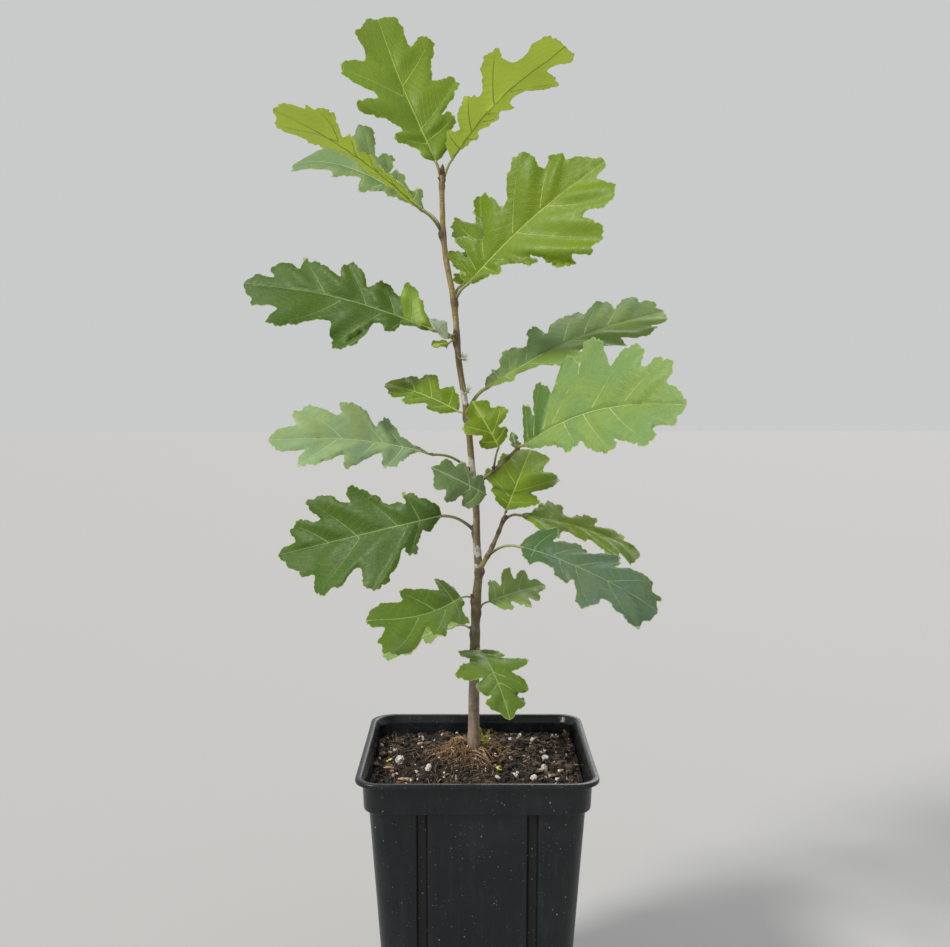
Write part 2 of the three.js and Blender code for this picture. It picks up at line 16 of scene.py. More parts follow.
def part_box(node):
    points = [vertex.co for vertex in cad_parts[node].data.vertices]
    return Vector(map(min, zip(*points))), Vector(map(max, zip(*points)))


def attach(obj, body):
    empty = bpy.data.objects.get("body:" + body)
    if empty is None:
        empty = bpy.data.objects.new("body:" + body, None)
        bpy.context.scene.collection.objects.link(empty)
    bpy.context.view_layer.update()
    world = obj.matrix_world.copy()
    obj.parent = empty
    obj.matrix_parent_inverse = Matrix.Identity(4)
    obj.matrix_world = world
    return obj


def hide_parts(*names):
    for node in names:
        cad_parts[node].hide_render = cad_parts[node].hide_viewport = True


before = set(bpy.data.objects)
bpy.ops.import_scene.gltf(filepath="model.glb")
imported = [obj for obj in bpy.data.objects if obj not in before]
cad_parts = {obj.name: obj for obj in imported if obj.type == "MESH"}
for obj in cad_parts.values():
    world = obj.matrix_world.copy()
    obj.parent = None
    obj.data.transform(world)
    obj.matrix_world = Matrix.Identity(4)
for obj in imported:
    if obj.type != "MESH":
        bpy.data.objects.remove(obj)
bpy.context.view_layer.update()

MM = 0.001

# The photograph's camera, solved from the pot's rim.
FRAME_WIDTH_PX = 950
FOCAL_PX = 1165
SENSOR_WIDTH = 36.0
EYE = (-3.9, -757.0, 443.5)
PITCH_DOWN = math.radians(4.67)
YAW_RIGHT = math.radians(0.21)

# The floor, the sky and the lights: place, power, softness in degrees and colour.
FLOOR_REACH = 9000
FLOOR_COLOUR = (0.41, 0.41, 0.415)
SKY_COLOUR = (0.89, 0.90, 0.90)
SKY_STRENGTH = 0.66
LIGHTS = [("key", (-1300, -900, 1700), 2.9, 12, (1.0, 0.97, 0.90)),
          ("back", (600, 1500, 1500), 1.1, 40, (1.0, 0.99, 0.94))]
LIT_SPOT = (0, 0, 400)

# The pot, as in the part: a tapering square tub with a deep band and a thin lip at its mouth.
POT_HEIGHT = 200.0
LIP_HALF = 75.0
LIP_HEIGHT = 3.0
BAND_TOP_HALF = 70.8
BAND_FOOT_HALF = 70.0
BAND_HEIGHT = 21.0
BAND_FOOT = POT_HEIGHT - BAND_HEIGHT
BODY_TOP_HALF = 67.0
BODY_FOOT_HALF = 54.8
WALL = 1.7
POT_FLOOR = 2.4
LIP_CORNER = 16.0
BAND_CORNER = 14.0
BODY_CORNER = 13.0
CHANNEL_OFFSET = 34.0
CHANNEL_HALF_WIDTH = 4.6
CHANNEL_DEPTH = 2.6
DRAIN_RADIUS = 6.0
DRAIN_REACH = 36.0
GAP = 0.3

# How the pot's walls are meshed, and the slight waves in them as a share of the width.
ROUND_STEPS = 6
LONGEST_STEP = 12
DRAIN_SIDES = 32
WALL_WAVE = 0.0022
WALL_WAVE_SIZE = 60

# The potting mix rises from the pot's wall to the foot of the stem.
SOIL_HALF = BAND_FOOT_HALF - WALL - GAP
SOIL_EDGE_LEVEL = 187.5
SOIL_MOUND = 8.2
SOIL_SIDES = 400
SOIL_RINGS = 62
CUT_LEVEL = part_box("trunk")[0].z / MM
LIFT = np.array([0, 0, CUT_LEVEL])
ROOT_MIDDLE = (-5.0, 0.0)
STEM_FOOT_X = -1.8
STRAND_SIDES = 5
STRAND_CLEAR = 2.7
STEM_CLEAR = 4.0
EDGE_CLEAR = 1.2

# A heap and a hollow in the potting mix: place, reach to the side and back, and height or depth.
HEAP = (-12, 3, 9, 9, 4.2)
HOLLOW = (11, -8, 7, 8, 5.5)

# Single large grains and chips on the potting mix: place and length.
BIG_WHITE = [(-51, -1, 8.5), (46, 3, 6), (44, -17, 6.5), (13, -41, 3.6), (24, -34, 5), (36, -36, 5),
             (-31, -28, 5.5), (-38, 49, 4), (31, 58, 4), (39, 40, 4.5), (23, 38, 4)]
BIG_TAN = [(-44, -32, 14), (-56, -13, 10), (22, -11, 7), (21, 64, 6), (-24, -40, 6)]
WEED_BITS = [(14, -28), (15, -30), (13, -26), (-60, 4), (-58, 6)]

# The main stem: height above the potting mix, sideways place, depth and radius at each bend.
STEM = [
    (0, -1.8, 0, 5.4), (4, -1.8, 0, 4.4), (12, -1.9, 0.1, 3.9), (40, -1.8, -0.5, 3.5), (78, -1.0, 0.4, 3.1),
    (102, -0.3, 0.2, 2.9), (120, 1.2, -0.4, 2.6), (142, -0.1, 0.4, 2.4), (160, -0.3, 0.6, 2.15),
    (188, -2.9, 0.2, 2.1), (216, -5.4, -0.6, 2.05), (240, -8.8, 0.2, 2.0), (262, -12.0, 0.8, 2.0),
    (280, -13.2, 0.2, 1.95), (300, -15.2, -0.6, 1.9), (322, -19.4, 0.2, 1.85), (341, -21.5, 0.8, 1.75),
    (378, -22.4, 0, 1.65),
]
STEM_STEPS = 24
STEM_SIDES = 40

# Downy tufts on the stem, by height and way out, and the buds at its tip, by lean, length and radius.
TUFTS = [(260, (0.9, -0.3, 0.5)), (238, (0.8, -0.5, 0.8))]
TUFT_STRANDS = 34
TIP_BUDS = [((0.1, 0, 1), 7, 1.8), ((0.3, 0.7, 0.7), 5, 1.4), ((-0.1, -0.75, 0.7), 5, 1.4)]

# Thin threads stand beside the buds of the leaves that grow between these heights.
THREAD_HEIGHTS = (260, 370)
THREADS_PER_LEAF = 3

# The side shoots: height of the foot on the stem, tip, arch of the middle, and radii of foot and tip.
Shoot = namedtuple("Shoot", "name at tip arch radii")
SHOOTS = [Shoot("shoot_low_right", 122, (18, -6, 158), -3, (1.7, 1.2)),
          Shoot("shoot_middle_right", 178, (26, -14, 203), -1.5, (1.25, 1.0))]
SHOOT_STEPS = 40
SHOOT_RADIUS = 1.2
SHOOT_SIDES = 24

# The leaves, in the places that they have in the part: place on the limb, ends of the blade above the
# potting mix, the way the upper side faces, and the tone. Then how far the midrib bows up, the halves fold
# up and wave, and the midrib sways. Each edge is typed as points along the leaf and out to that side, with a
# bar after the bay above each lobe. Zones are lit if positive and shaded if negative: side, first and last
# lobe, and strength. Curls turn a lobe: side, lobe and angle, down if negative.
Leaf = namedtuple("Leaf", "name at base tip face tone left right bow fold wave sway limb zones curls",
                  defaults=(0, "stem", (), ()))
LEAVES = [
    Leaf("leaf_top_left", 371, (-26, -1, 385), (-66, 45, 487), (0.2, -0.9, 0.35), "fresh",
         bow=3, fold=8, wave=3, sway=-3, zones=(("left", 0, 9, 0.3), ("right", 0, 9, 0.15)),
         left="4,7 12,10 17,18 22,22 25,15 | 33,24 37,33 42,40 47,38 50,31 51,23 | 56,24 62,30 69,35 77,38 "
              "83,37 86,32 84,21 | 92,19 98,20 104,21 108,19 111,13 114,12 118,8",
         right="3,6 10,12 20,18 27,21 31,19 30,14 | 36,20 40,25 47,30 53,32 57,29 56,21 58,17 | 64,19 72,21 "
               "80,26 86,28 92,27 95,22 92,17 89,13 | 96,12 104,13 110,13 115,12 118,8"),
    Leaf("leaf_top_right", 370, (-16, -2, 386), (54, -40, 445), (-0.5, 0.75, 0.4), "glow",
         bow=4, fold=10, wave=3, sway=5,
         left="12,1 20,4 24,1 | 32,4 38,5 43,3 | 49,10 50,4 54,3 | 63,5 67,13 74,19 79,17 80,10 80,5 | 85,5 "
              "90,9 95,12 98,8",
         right="2,4 6,11 12,15 15,12 18,10 | 22,16 27,19 32,21 37,21 39,18 40,15 | 46,17 51,23 56,28 63,31 "
               "69,30 68,23 70,17 | 77,15 86,17 92,16 97,11"),
    Leaf("leaf_upper_left_front", 339, (-35, -5, 354), (-122, -45, 408), (0.3, 0.35, 0.85), "glow",
         bow=3, fold=8, wave=3, sway=-5,
         left="10,4 20,8 30,9 38,9 41,7 | 45,12 50,14 52,11 54,9 | 58,12 62,16 65,15 67,11 | 72,15 78,21 "
              "84,25 91,25 97,22 96,18 | 101,16 106,13 109,6",
         right="10,3 20,3 26,4 30,3 | 36,5 43,7 48,5 | 54,7 60,11 66,15 72,20 78,21 82,16 | 88,15 95,16 "
               "102,14 104,10 | 106,6 109,3"),
    Leaf("leaf_upper_left_back", 341, (-33, 8, 355), (-127, 65, 395), (0.1, -0.85, 0.5), "frost",
         bow=16, fold=4, wave=6,
         left="6,2 14,4 22,6 28,6 | 34,9 41,12 45,10 46,5 | 54,6 60,9 66,12 69,8 | 78,11 88,12 98,13 106,11 "
              "110,7",
         right="5,3 8,8 12,9 15,6 | 22,10 26,14 32,15 34,10 | 37,18 42,24 48,24 50,17 | 58,26 64,33 71,32 "
               "74,22 | 82,16 92,13 102,12 110,8"),
    Leaf("leaf_upper_right", 296, (-6, -8, 307), (78, -35, 379), (-0.2, -0.9, 0.4), "fresh",
         bow=3, fold=7, wave=3, sway=-3, zones=(("right", 2.9, 9, 0.25),),
         left="0,8 3,9 3,5 | 1,15 2,22 6,24 9,20 10,14 | 13,18 11,24 12,28 16,27 19,22 21,19 | 26,17 30,24 "
              "31,31 33,38 37,41 41,42 45,36 47,28 47,22 | 53,24 59,32 66,37 73,41 78,40 82,35 81,27 83,23 "
              "| 86,25 89,28 93,27 97,23 96,19 98,17 | 102,15 106,12 109,7 113,5",
         right="8,5 15,7 20,11 23,13 25,12 25,8 | 28,10 34,15 40,22 42,25 45,24 44,17 | 49,24 50,29 53,36 "
               "58,41 62,41 65,36 | 70,41 75,44 78,41 86,39 89,34 87,28 84,21 | 88,20 94,25 100,27 105,25 "
               "109,20 108,14 104,6 | 108,4 113,3"),
    Leaf("leaf_upper_back", 299, (-9, 14, 308), (23, 105, 373), (-0.2, -0.5, 0.8), "fresh",
         bow=6, fold=8, wave=3,
         left="3,6 8,8 12,4 | 16,6 22,13 27,17 33,17 34,11 36,8 | 44,14 52,20 60,24 68,26 74,26 75,18 74,12 "
              "| 84,14 95,20 106,20 113,13",
         right="4,5 10,9 16,13 20,12 22,9 | 28,14 36,20 42,22 46,16 | 54,20 64,26 72,24 76,16 | 86,18 96,16 "
               "104,12 112,6"),
    Leaf("leaf_high_left", 271, (-27, -4, 278), (-158, 40, 311), (0.1, -0.9, 0.35), "deep",
         bow=6, fold=4, wave=4, sway=4, zones=(("right", 0, 1, 0.9),),
         curls=(("right", 0, 50), ("right", 1, 60), ("left", 1, -40)),
         left="6,2 14,2 21,3 26,9 29,11 33,7 40,7 | 41,15 46,24 52,28 58,30 64,28 66,22 68,14 | 77,16 88,24 "
              "95,28 101,30 107,26 108,22 106,15 | 113,13 120,14 128,14 131,9 137,6",
         right="4,4 10,10 16,18 22,24 27,26 30,22 30,16 | 38,20 44,22 48,19 53,16 | 56,22 65,28 72,28 74,23 "
               "73,18 | 83,22 92,25 99,25 106,27 105,19 | 114,22 122,21 127,16 122,9 134,9 140,4"),
    Leaf("leaf_tiny_left", 275, (-18, -9, 273), (-30, -16, 285), (0.1, -0.8, 0.6), "ice",
         bow=1, fold=6, wave=1,
         left="2,3 5,5 8,4 10,3 | 13,4 16,2",
         right="3,3 7,6 10,6 12,4 | 14,4 16,2"),
    Leaf("leaf_high_right", 225, (6, 8, 241), (131, 60, 294), (-0.25, -0.6, 0.75), "frost",
         bow=4, fold=6, wave=3, sway=-6, zones=(("right", 0, 9, 0.55),),
         left="3,6 8,10 14,13 18,12 | 22,18 27,22 33,23 38,19 42,16 | 46,20 50,26 56,29 60,25 62,20 | 66,25 "
              "74,30 84,33 94,34 98,28 | 104,32 112,32 118,29 119,22 | 124,25 133,27 137,22 136,16 | 141,16 "
              "145,11 143,6",
         right="8,3 18,5 24,3 | 32,4 39,7 44,14 49,23 56,29 62,27 65,18 67,12 | 73,14 82,19 92,22 98,20 "
               "98,14 | 106,19 116,21 124,19 125,12 | 132,14 139,11 141,6"),
    Leaf("leaf_big_right", 1, (30, -18, 205), (115, -115, 233), (-0.4, -0.8, 0.4), "pale",
         bow=6, fold=7, wave=4, sway=-8, limb="shoot_middle_right", zones=(("left", 0, 2.3, -0.75),),
         curls=(("left", 0, 12),),
         left="0,8 0,18 1,25 4,26 8,22 11,17 | 11,21 11,29 13,36 17,37 24,32 29,27 | 31,30 33,38 34,44 "
              "38,48 44,47 50,42 52,34 | 52,44 53,51 58,55 66,53 73,48 76,40 79,33 | 85,38 91,41 98,42 "
              "103,38 103,33 102,28 | 105,27 109,30 114,31 119,29 122,25 122,21 119,17 120,14 | 124,12 "
              "128,8 130,4",
         right="8,4 20,7 32,8 42,11 48,15 53,15 58,13 60,11 | 66,16 72,19 80,22 88,23 90,19 88,15 | 95,18 "
               "102,20 109,23 114,22 116,17 114,12 | 118,11 122,12 127,11 127,8 130,4"),
    Leaf("leaf_small_high_left", 222, (-12, 3, 226), (-62, 35, 244), (0.1, -0.7, 0.7), "fresh",
         bow=3, fold=8, wave=2,
         left="4,6 10,11 16,12 20,8 | 25,12 31,15 36,13 38,8 | 43,11 49,12 52,8 | 56,6",
         right="3,6 9,12 15,15 19,13 21,9 | 26,14 32,18 38,17 41,12 | 45,14 51,13 54,8 | 58,5"),
    Leaf("leaf_small_front", 0.45, (14, -19, 204), (-3, -14, 233), (0, -0.9, 0.3), "fresh",
         bow=2, fold=8, wave=2, limb="shoot_middle_right",
         left="2,6 5,10 9,10 11,6 | 14,11 18,15 23,13 24,8 | 28,9 31,5",
         right="2,5 5,9 9,10 11,6 | 14,12 17,16 22,14 24,8 | 28,9 31,5"),
    Leaf("leaf_middle_left", 186, (-28, -14, 199), (-126, -55, 210), (0.1, -0.8, 0.6), "silver",
         bow=6, fold=8, wave=3, sway=2, zones=(("right", 0, 1, -0.35),), curls=(("right", 0, 45),),
         left="12,1 18,5 22,8 26,12 31,15 36,16 37,12 38,6 | 43,9 48,12 53,16 59,20 63,21 64,17 63,12 | "
              "68,14 73,17 79,19 85,20 91,19 91,15 88,11 86,8 | 92,8 98,8 103,6",
         right="10,3 16,5 24,10 27,15 31,18 36,18 39,13 | 43,18 47,23 52,25 58,26 62,24 62,19 65,17 | 70,20 "
               "75,22 79,24 86,22 90,20 91,16 90,11 | 95,10 100,8 104,5"),
    Leaf("leaf_front_small_left", 168, (6, -12, 173), (-29, -27, 192), (0.3, -0.9, 0.2), "frost",
         bow=2, fold=6, wave=2,
         left="3,7 8,13 13,14 16,8 | 21,14 27,17 29,10 | 33,12 37,11 38,5",
         right="3,4 8,8 12,9 14,5 | 19,9 25,12 28,7 | 32,9 36,8 38,4"),
    Leaf("leaf_low_left", 147, (-23, 8, 157), (-138, 45, 125), (-0.1, -0.9, 0.4), "deep",
         bow=4, fold=6, wave=3, sway=-1,
         left="4,4 9,9 14,8 18,15 20,22 25,22 27,17 30,19 | 32,26 38,34 42,40 48,42 53,41 57,36 58,26 | "
              "63,25 69,31 75,36 79,34 85,37 93,36 96,29 95,22 | 106,20 107,16 114,13 118,8",
         right="1,6 6,11 14,16 20,20 24,20 23,13 | 30,16 36,15 42,22 48,26 54,30 61,32 64,29 62,23 | 69,24 "
               "74,29 79,31 86,31 94,30 93,25 86,16 | 93,16 101,20 108,17 112,14 109,6 | 114,5 120,4"),
    Leaf("leaf_shoot_up", 1, (19, -5, 162), (37, 40, 199), (0.1, -0.8, 0.4), "fresh",
         bow=3, fold=8, wave=2, limb="shoot_low_right", zones=(("left", 0, 9, 0.3), ("right", 0, 9, 0.3)),
         left="2,6 5,10 9,13 12,14 | 15,18 19,22 24,22 26,18 27,16 | 32,17 38,17 43,14 46,11 | 52,8 57,5",
         right="3,5 7,10 10,15 15,19 18,15 19,11 | 23,15 27,21 33,25 39,25 42,20 41,14 | 45,13 50,14 54,15 "
               "58,12 60,7"),
    Leaf("leaf_shoot_out", 0.93, (28, 4, 158), (116, 60, 124), (0.2, -0.6, 0.7), "lime",
         bow=6, fold=5, wave=3, limb="shoot_low_right", zones=(("left", 0, 9, 0.3),),
         left="4,2 10,4 16,10 22,15 30,18 36,16 37,12 36,8 | 42,7 50,10 58,11 66,10 63,6 | 70,6 80,9 88,10 "
              "95,9 93,4 | 99,5 106,3",
         right="3,4 8,9 12,14 18,15 24,16 28,12 31,8 | 36,8 42,10 48,11 53,10 | 57,14 62,20 68,24 73,22 "
               "76,16 | 82,18 88,19 94,16 | 100,10 106,5"),
    Leaf("leaf_low_right", 0.35, (27, -16, 140), (109, -65, 108), (0.3, -0.7, 0.6), "teal",
         bow=8, fold=5, wave=4, sway=2, limb="shoot_low_right",
         zones=(("left", 0, 1.1, -0.6), ("right", 0, 1.1, -0.6)),
         left="1,8 4,14 8,17 13,19 18,20 20,15 20,10 | 25,12 30,14 35,15 40,15 44,13 | 51,18 57,20 64,18 "
              "65,14 64,11 | 68,12 73,14 80,14 88,13 91,9 | 98,8 97,4",
         right="4,3 8,8 12,11 18,14 24,11 | 29,11 33,12 39,16 45,16 48,13 | 54,19 59,26 65,29 70,29 72,23 "
               "71,18 | 75,17 82,21 89,22 95,23 98,21 98,15 | 100,11 101,6"),
    Leaf("leaf_lowest_right", 94, (8, 6, 100), (48, 40, 105), (-0.1, -0.8, 0.5), "silver",
         bow=2, fold=8, wave=2, zones=(("left", 0, 9, 0.6), ("right", 0, 9, 0.6)),
         left="3,6 7,12 12,14 15,8 | 19,13 23,18 27,17 28,9 | 33,13 38,12 40,6 | 47,5 50,2",
         right="3,5 7,10 12,12 14,6 | 19,11 24,15 28,13 29,7 | 34,11 39,10 41,5 | 47,4 50,2"),
    Leaf("leaf_lowest_left", 102, (-10, -6, 105), (-70, -35, 96), (-0.2, -0.7, 0.6), "mid",
         bow=4, fold=7, wave=3, sway=-9, zones=(("left", 0, 9, 0.15), ("right", 1.9, 9, 0.15)),
         left="0,5 4,10 5,15 4,18 6,22 12,23 18,21 | 23,25 27,31 33,29 34,20 | 42,28 48,33 56,36 63,35 "
              "67,32 66,25 67,21 62,16 59,11 | 62,9 66,7",
         right="1,4 3,9 8,13 14,16 15,11 15,6 | 19,7 25,9 31,11 36,12 41,11 40,8 41,5 | 50,6 54,7 57,6 62,6 "
               "64,3"),
    Leaf("leaf_lowest_left_back", 80, (-12, 8, 84), (-65, 35, 56), (-0.3, -0.7, 0.6), "pale",
         bow=4, fold=6, wave=3,
         left="5,2 11,2 16,5 20,9 25,6 27,2 | 31,5 36,8 42,9 46,6 | 51,8 56,8 60,5",
         right="3,4 8,9 13,11 17,9 19,6 | 24,11 29,15 35,15 38,10 | 43,14 49,15 53,11 55,8 | 60,6"),
    Leaf("leaf_bottom", 68, (2, -9, 71), (20, -58, 39), (0.2, -0.6, 0.75), "mid",
         bow=5, fold=7, wave=3, zones=(("left", 0, 9, 0.15), ("right", 0, 9, 0.3)),
         left="1,5 4,10 8,13 11,12 12,7 | 15,14 19,20 24,23 28,20 29,11 | 34,15 39,18 44,17 45,10 | 50,14 "
              "54,11 56,6 | 60,3",
         right="1,5 2,11 5,15 9,18 12,15 14,9 | 18,18 23,24 28,24 30,17 31,9 | 36,15 41,16 44,13 45,8 | "
               "50,13 54,11 56,6 | 60,3"),
]

# Two leaflets that are too small to be nodes of the part.
LEAFLETS = [
    Leaf("leaflet_middle_right", 0.94, (25, -15, 203), (22, -17, 214), (0, -0.9, 0.3), "frost",
         bow=1, fold=10, wave=0.5, limb="shoot_middle_right",
         left="2,2 4,3 5,2 | 7,3 9,2",
         right="2,2 4,3 5,2 | 7,3 9,2"),
    Leaf("leaflet_high_left", 272, (-18, -4, 270), (-29, -13, 268), (0.1, -0.8, 0.5), "lime",
         bow=1, fold=6, wave=0.5,
         left="2,2 5,4 7,3 | 10,3 13,2",
         right="2,2 5,3 7,2 | 10,3 13,2"),
]

# The rule for a blade: side veins fan out from the midrib to the lobed edge, at angles from the midrib.
SIDES = {"left": -1, "right": 1}
VEIN_ANGLE = math.radians(48)
VEIN_ANGLE_HOLD = 3
BASE_SPREAD = math.radians(66)
BASE_SPREAD_SHARE = 0.3
VEIN_BEND = 0.06
VEIN_OVERRUN = 1.4
VEIN_POINTS = 29
MIDRIB_SHARE = 0.86
MIDRIB_GROOVE = 0.25
MIDRIB_GROOVE_HALF = 0.9
RAY_STEPS = 600
LEAST_REACH = 0.5
WAVES = 1.5
TOOTH_STEP = 3.6
TOOTH_DEPTH = 1.5
SCALLOP_STEP = 9.5
SCALLOP_DEPTH = 2.0
SCALLOP_FULL_LENGTH = 110
EDGE_FADE = 8
BLADE_THICKNESS = 0.4
RIM_THICKNESS = 0.16
RIM_WIDTH = 2
LINE_STEPS = 24
EDGE_STEP = 0.8
RIB_STEP = 1.5
FILL_STEP = 1.9
PUCKER_SHARE = 0.016
LADDER = 0.12
LADDER_STEP = 5.5
LADDER_SLANT = 2.4
FLUTTER = 0.9
CURL_START = 0.45
CURL_WIDTH = 0.3
LOBE_LIFT = 0.16
STALK_RADIUS_SHARE = 0.008
STALK_LEAST_RADIUS = 0.65
STALK_ARCH_SHARE = 0.12
STALK_SWELL = 0.75
STALK_SIDES = 10
SUNK_SHARE = 0.12
SUNK_DEPTH = 0.35


def ease(share):
    """From 0 to 1, with a gentle start and end."""
    s = np.clip(share, 0, 1)
    return s * s * (3 - 2 * s)


def bump(offset):
    """A smooth hump: 1 at no offset, near 0 from twice the unit on."""
    return np.exp(-(offset**2))


def chance(seed, place):
    """A repeatable number from 0 to 1, by the part's own rule."""
    wave = math.sin(seed * 12.9898 + place * 78.233) * 43758.5453
    return wave - math.floor(wave)


def unit(vector):
    """Vectors of length 1, along the last axis."""
    vector = np.asarray(vector, float)
    return vector / np.maximum(np.linalg.norm(vector, axis=-1, keepdims=True), 1e-9)


def lattice(cells, seed):
    """A repeatable number from 0 to 1 at each whole-number place."""
    wave = np.sin(cells @ np.array([127.1, 311.7, 74.7]) + seed * 19.19) * 43758.5453
    return wave - np.floor(wave)


def smooth_noise(points, size, octaves, seed):
    """Noise from about -1 to 1 whose largest features are that size, with finer octaves over it."""
    total = 0
    for octave in range(octaves):
        scaled = np.asarray(points, float) / size * 2**octave
        low = np.floor(scaled)
        part = ease(scaled - low)
        value = 0
        for corner in itertools.product((0, 1), repeat=3):
            weight = np.prod(np.where(corner, part, 1 - part), axis=-1)
            value = value + weight * lattice(low + corner, seed + octave)
        total = total + (2 * value - 1) / 2**octave
    return total


def circle(sides):
    """Evenly spaced angles round a circle."""
    return np.arange(sides) / sides * 2 * math.pi


def run_along(line):
    """How far along a line each of its points is."""
    return np.concatenate([[0], np.cumsum(np.linalg.norm(np.diff(line, axis=0), axis=1))])


def sample(line, marks, at):
    """The points of a line where the rising marks of its points reach given values."""
    return np.stack([np.interp(at, marks, line[:, k]) for k in range(line.shape[1])], -1)


def bezier(a, b, c, share):
    """Points of a quadratic curve at shares of its length."""
    s = np.asarray(share, float)[..., None]
    return (1 - s) ** 2 * a + 2 * s * (1 - s) * b + s**2 * c


def smooth_line(spots, steps):
    """A centripetal curve through points, with that many steps from each to the next."""
    spots = np.array(spots, float)
    padded = np.vstack([2 * spots[0] - spots[1], spots, 2 * spots[-1] - spots[-2]])
    t = np.linspace(0, 1, steps + 1)[:-1, None]
    line = []
    for p0, p1, p2, p3 in zip(padded, padded[1:], padded[2:], padded[3:]):
        d0, d1, d2 = (math.sqrt(max(np.linalg.norm(b - a), 0.01)) for a, b in ((p0, p1), (p1, p2), (p2, p3)))
        start = ((p1 - p0) / d0 - (p2 - p0) / (d0 + d1) + (p2 - p1) / d1) * d1
        end = ((p2 - p1) / d1 - (p3 - p1) / (d1 + d2) + (p3 - p2) / d2) * d1
        curve = (2 * t**3 - 3 * t**2 + 1) * p1 + (t**3 - 2 * t**2 + t) * start
        line.append(curve + (3 * t**2 - 2 * t**3) * p2 + (t**3 - t**2) * end)
    return np.concatenate([*line, spots[-1:]])


def stem_curve():
    """The stem's middle line and radius."""
    bends = np.array(STEM, float)
    line = smooth_line(bends[:, (1, 2, 0)], STEM_STEPS)
    return line, np.interp(np.arange(len(line)) / STEM_STEPS, np.arange(len(bends)), bends[:, 3])


def place_on(limb, at):
    """The point on a limb: at a height on the stem, or at a share of a shoot."""
    line = LIMBS[limb][0]
    marks = line[:, 2] if limb == "stem" else np.linspace(0, 1, len(line))
    return sample(line, marks, at)


def stem_radius(height):
    """The stem's radius at a height above the potting mix."""
    line, radii = LIMBS["stem"]
    return np.interp(height, line[:, 2], radii)


def shoot_curve(shoot):
    """A side shoot's middle line and radius, from the stem's middle to its tip."""
    start, tip = place_on("stem", shoot.at), np.array(shoot.tip, float)
    middle = (start + tip) / 2 + np.array([0, 0, 2 * shoot.arch])
    share = np.linspace(0, 1, SHOOT_STEPS + 1)
    first, last = shoot.radii
    return bezier(start, middle, tip, share), first + (last - first) * share


LIMBS = {"stem": stem_curve()}
for side_shoot in SHOOTS:
    LIMBS[side_shoot.name] = shoot_curve(side_shoot)


def make_object(name, points, faces, materials, numbers=None, slots=None, sharp=60):
    """A mesh object from points in millimetres, with numbers for its shader and slots for its faces."""
    mesh = bpy.data.meshes.new(name)
    mesh.from_pydata((np.asarray(points) * MM).tolist(), [], [list(f) for f in faces])
    for material in materials:
        mesh.materials.append(material)
    if slots is not None:
        mesh.polygons.foreach_set("material_index", np.asarray(slots, np.int32))
    for label, values in (numbers or {}).items():
        values = np.asarray(values, np.float32)
        kind, field = ("FLOAT_VECTOR", "vector") if values.ndim == 2 else ("FLOAT", "value")
        mesh.attributes.new(label, kind, "POINT").data.foreach_set(field, values.ravel())
    mesh.polygons.foreach_set("use_smooth", [True] * len(mesh.polygons))
    mesh.set_sharp_from_angle(angle=math.radians(sharp))
    mesh.update()
    thing = bpy.data.objects.new(name, mesh)
    bpy.context.scene.collection.objects.link(thing)
    return thing


def dress(thing, slot, *nodes):
    """Rides a piece on the part and hides the part's nodes that it stands for. The slot, which names its
    finish, is not used.
    """
    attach(thing, "root")
    if nodes:
        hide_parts(*nodes)


def capped(rings, sides):
    """The faces of a closed solid through rings of points: quads, and a face over each end."""
    start = np.arange(rings - 1)[:, None] * sides
    here = np.arange(sides)
    after = (here + 1) % sides
    quads = np.stack([start + here, start + after, start + sides + after, start + sides + here], -1)
    return [*quads.reshape(-1, 4).tolist(), here[::-1].tolist(), (here + (rings - 1) * sides).tolist()]


class Heap:
    """Many small closed shapes gathered into one mesh."""

    def __init__(self):
        self.points, self.faces, self.numbers, self.slots, self.count = [], [], {}, [], 0

    def add(self, points, faces, slot=0, **numbers):
        points = np.asarray(points, float)
        self.points.append(points)
        self.faces.extend((np.asarray(face) + self.count).tolist() for face in faces)
        self.slots.extend([slot] * len(faces))
        for label, values in numbers.items():
            values = np.full(len(points), values) if np.ndim(values) == 0 else values
            self.numbers.setdefault(label, []).append(values)
        self.count += len(points)

    def make(self, name, *materials, sharp=60):
        numbers = {label: np.concatenate(parts) for label, parts in self.numbers.items()}
        points = np.concatenate(self.points)
        return make_object(name, points, self.faces, materials, numbers, self.slots, sharp)


def tube(points, radii, sides):
    """A round limb along a line: its points, its closed faces, and each point's way out of the line."""
    points = np.asarray(points, float)
    along = unit(np.gradient(points, axis=0))
    across = np.array([1.0, 0, 0] if abs(along[0][1]) > 0.9 else [0, 1.0, 0])
    angles = circle(sides)
    outs = []
    for direction in along:
        across = unit(across - direction * (across @ direction))
        other = np.cross(direction, across)
        outs.append(np.cos(angles)[:, None] * across + np.sin(angles)[:, None] * other)
    outs = np.array(outs)
    radii = np.asarray(radii, float)
    radii = radii[:, None] if radii.ndim == 1 else radii
    skin = points[:, None] + outs * radii[..., None]
    return skin.reshape(-1, 3), capped(len(points), sides), outs


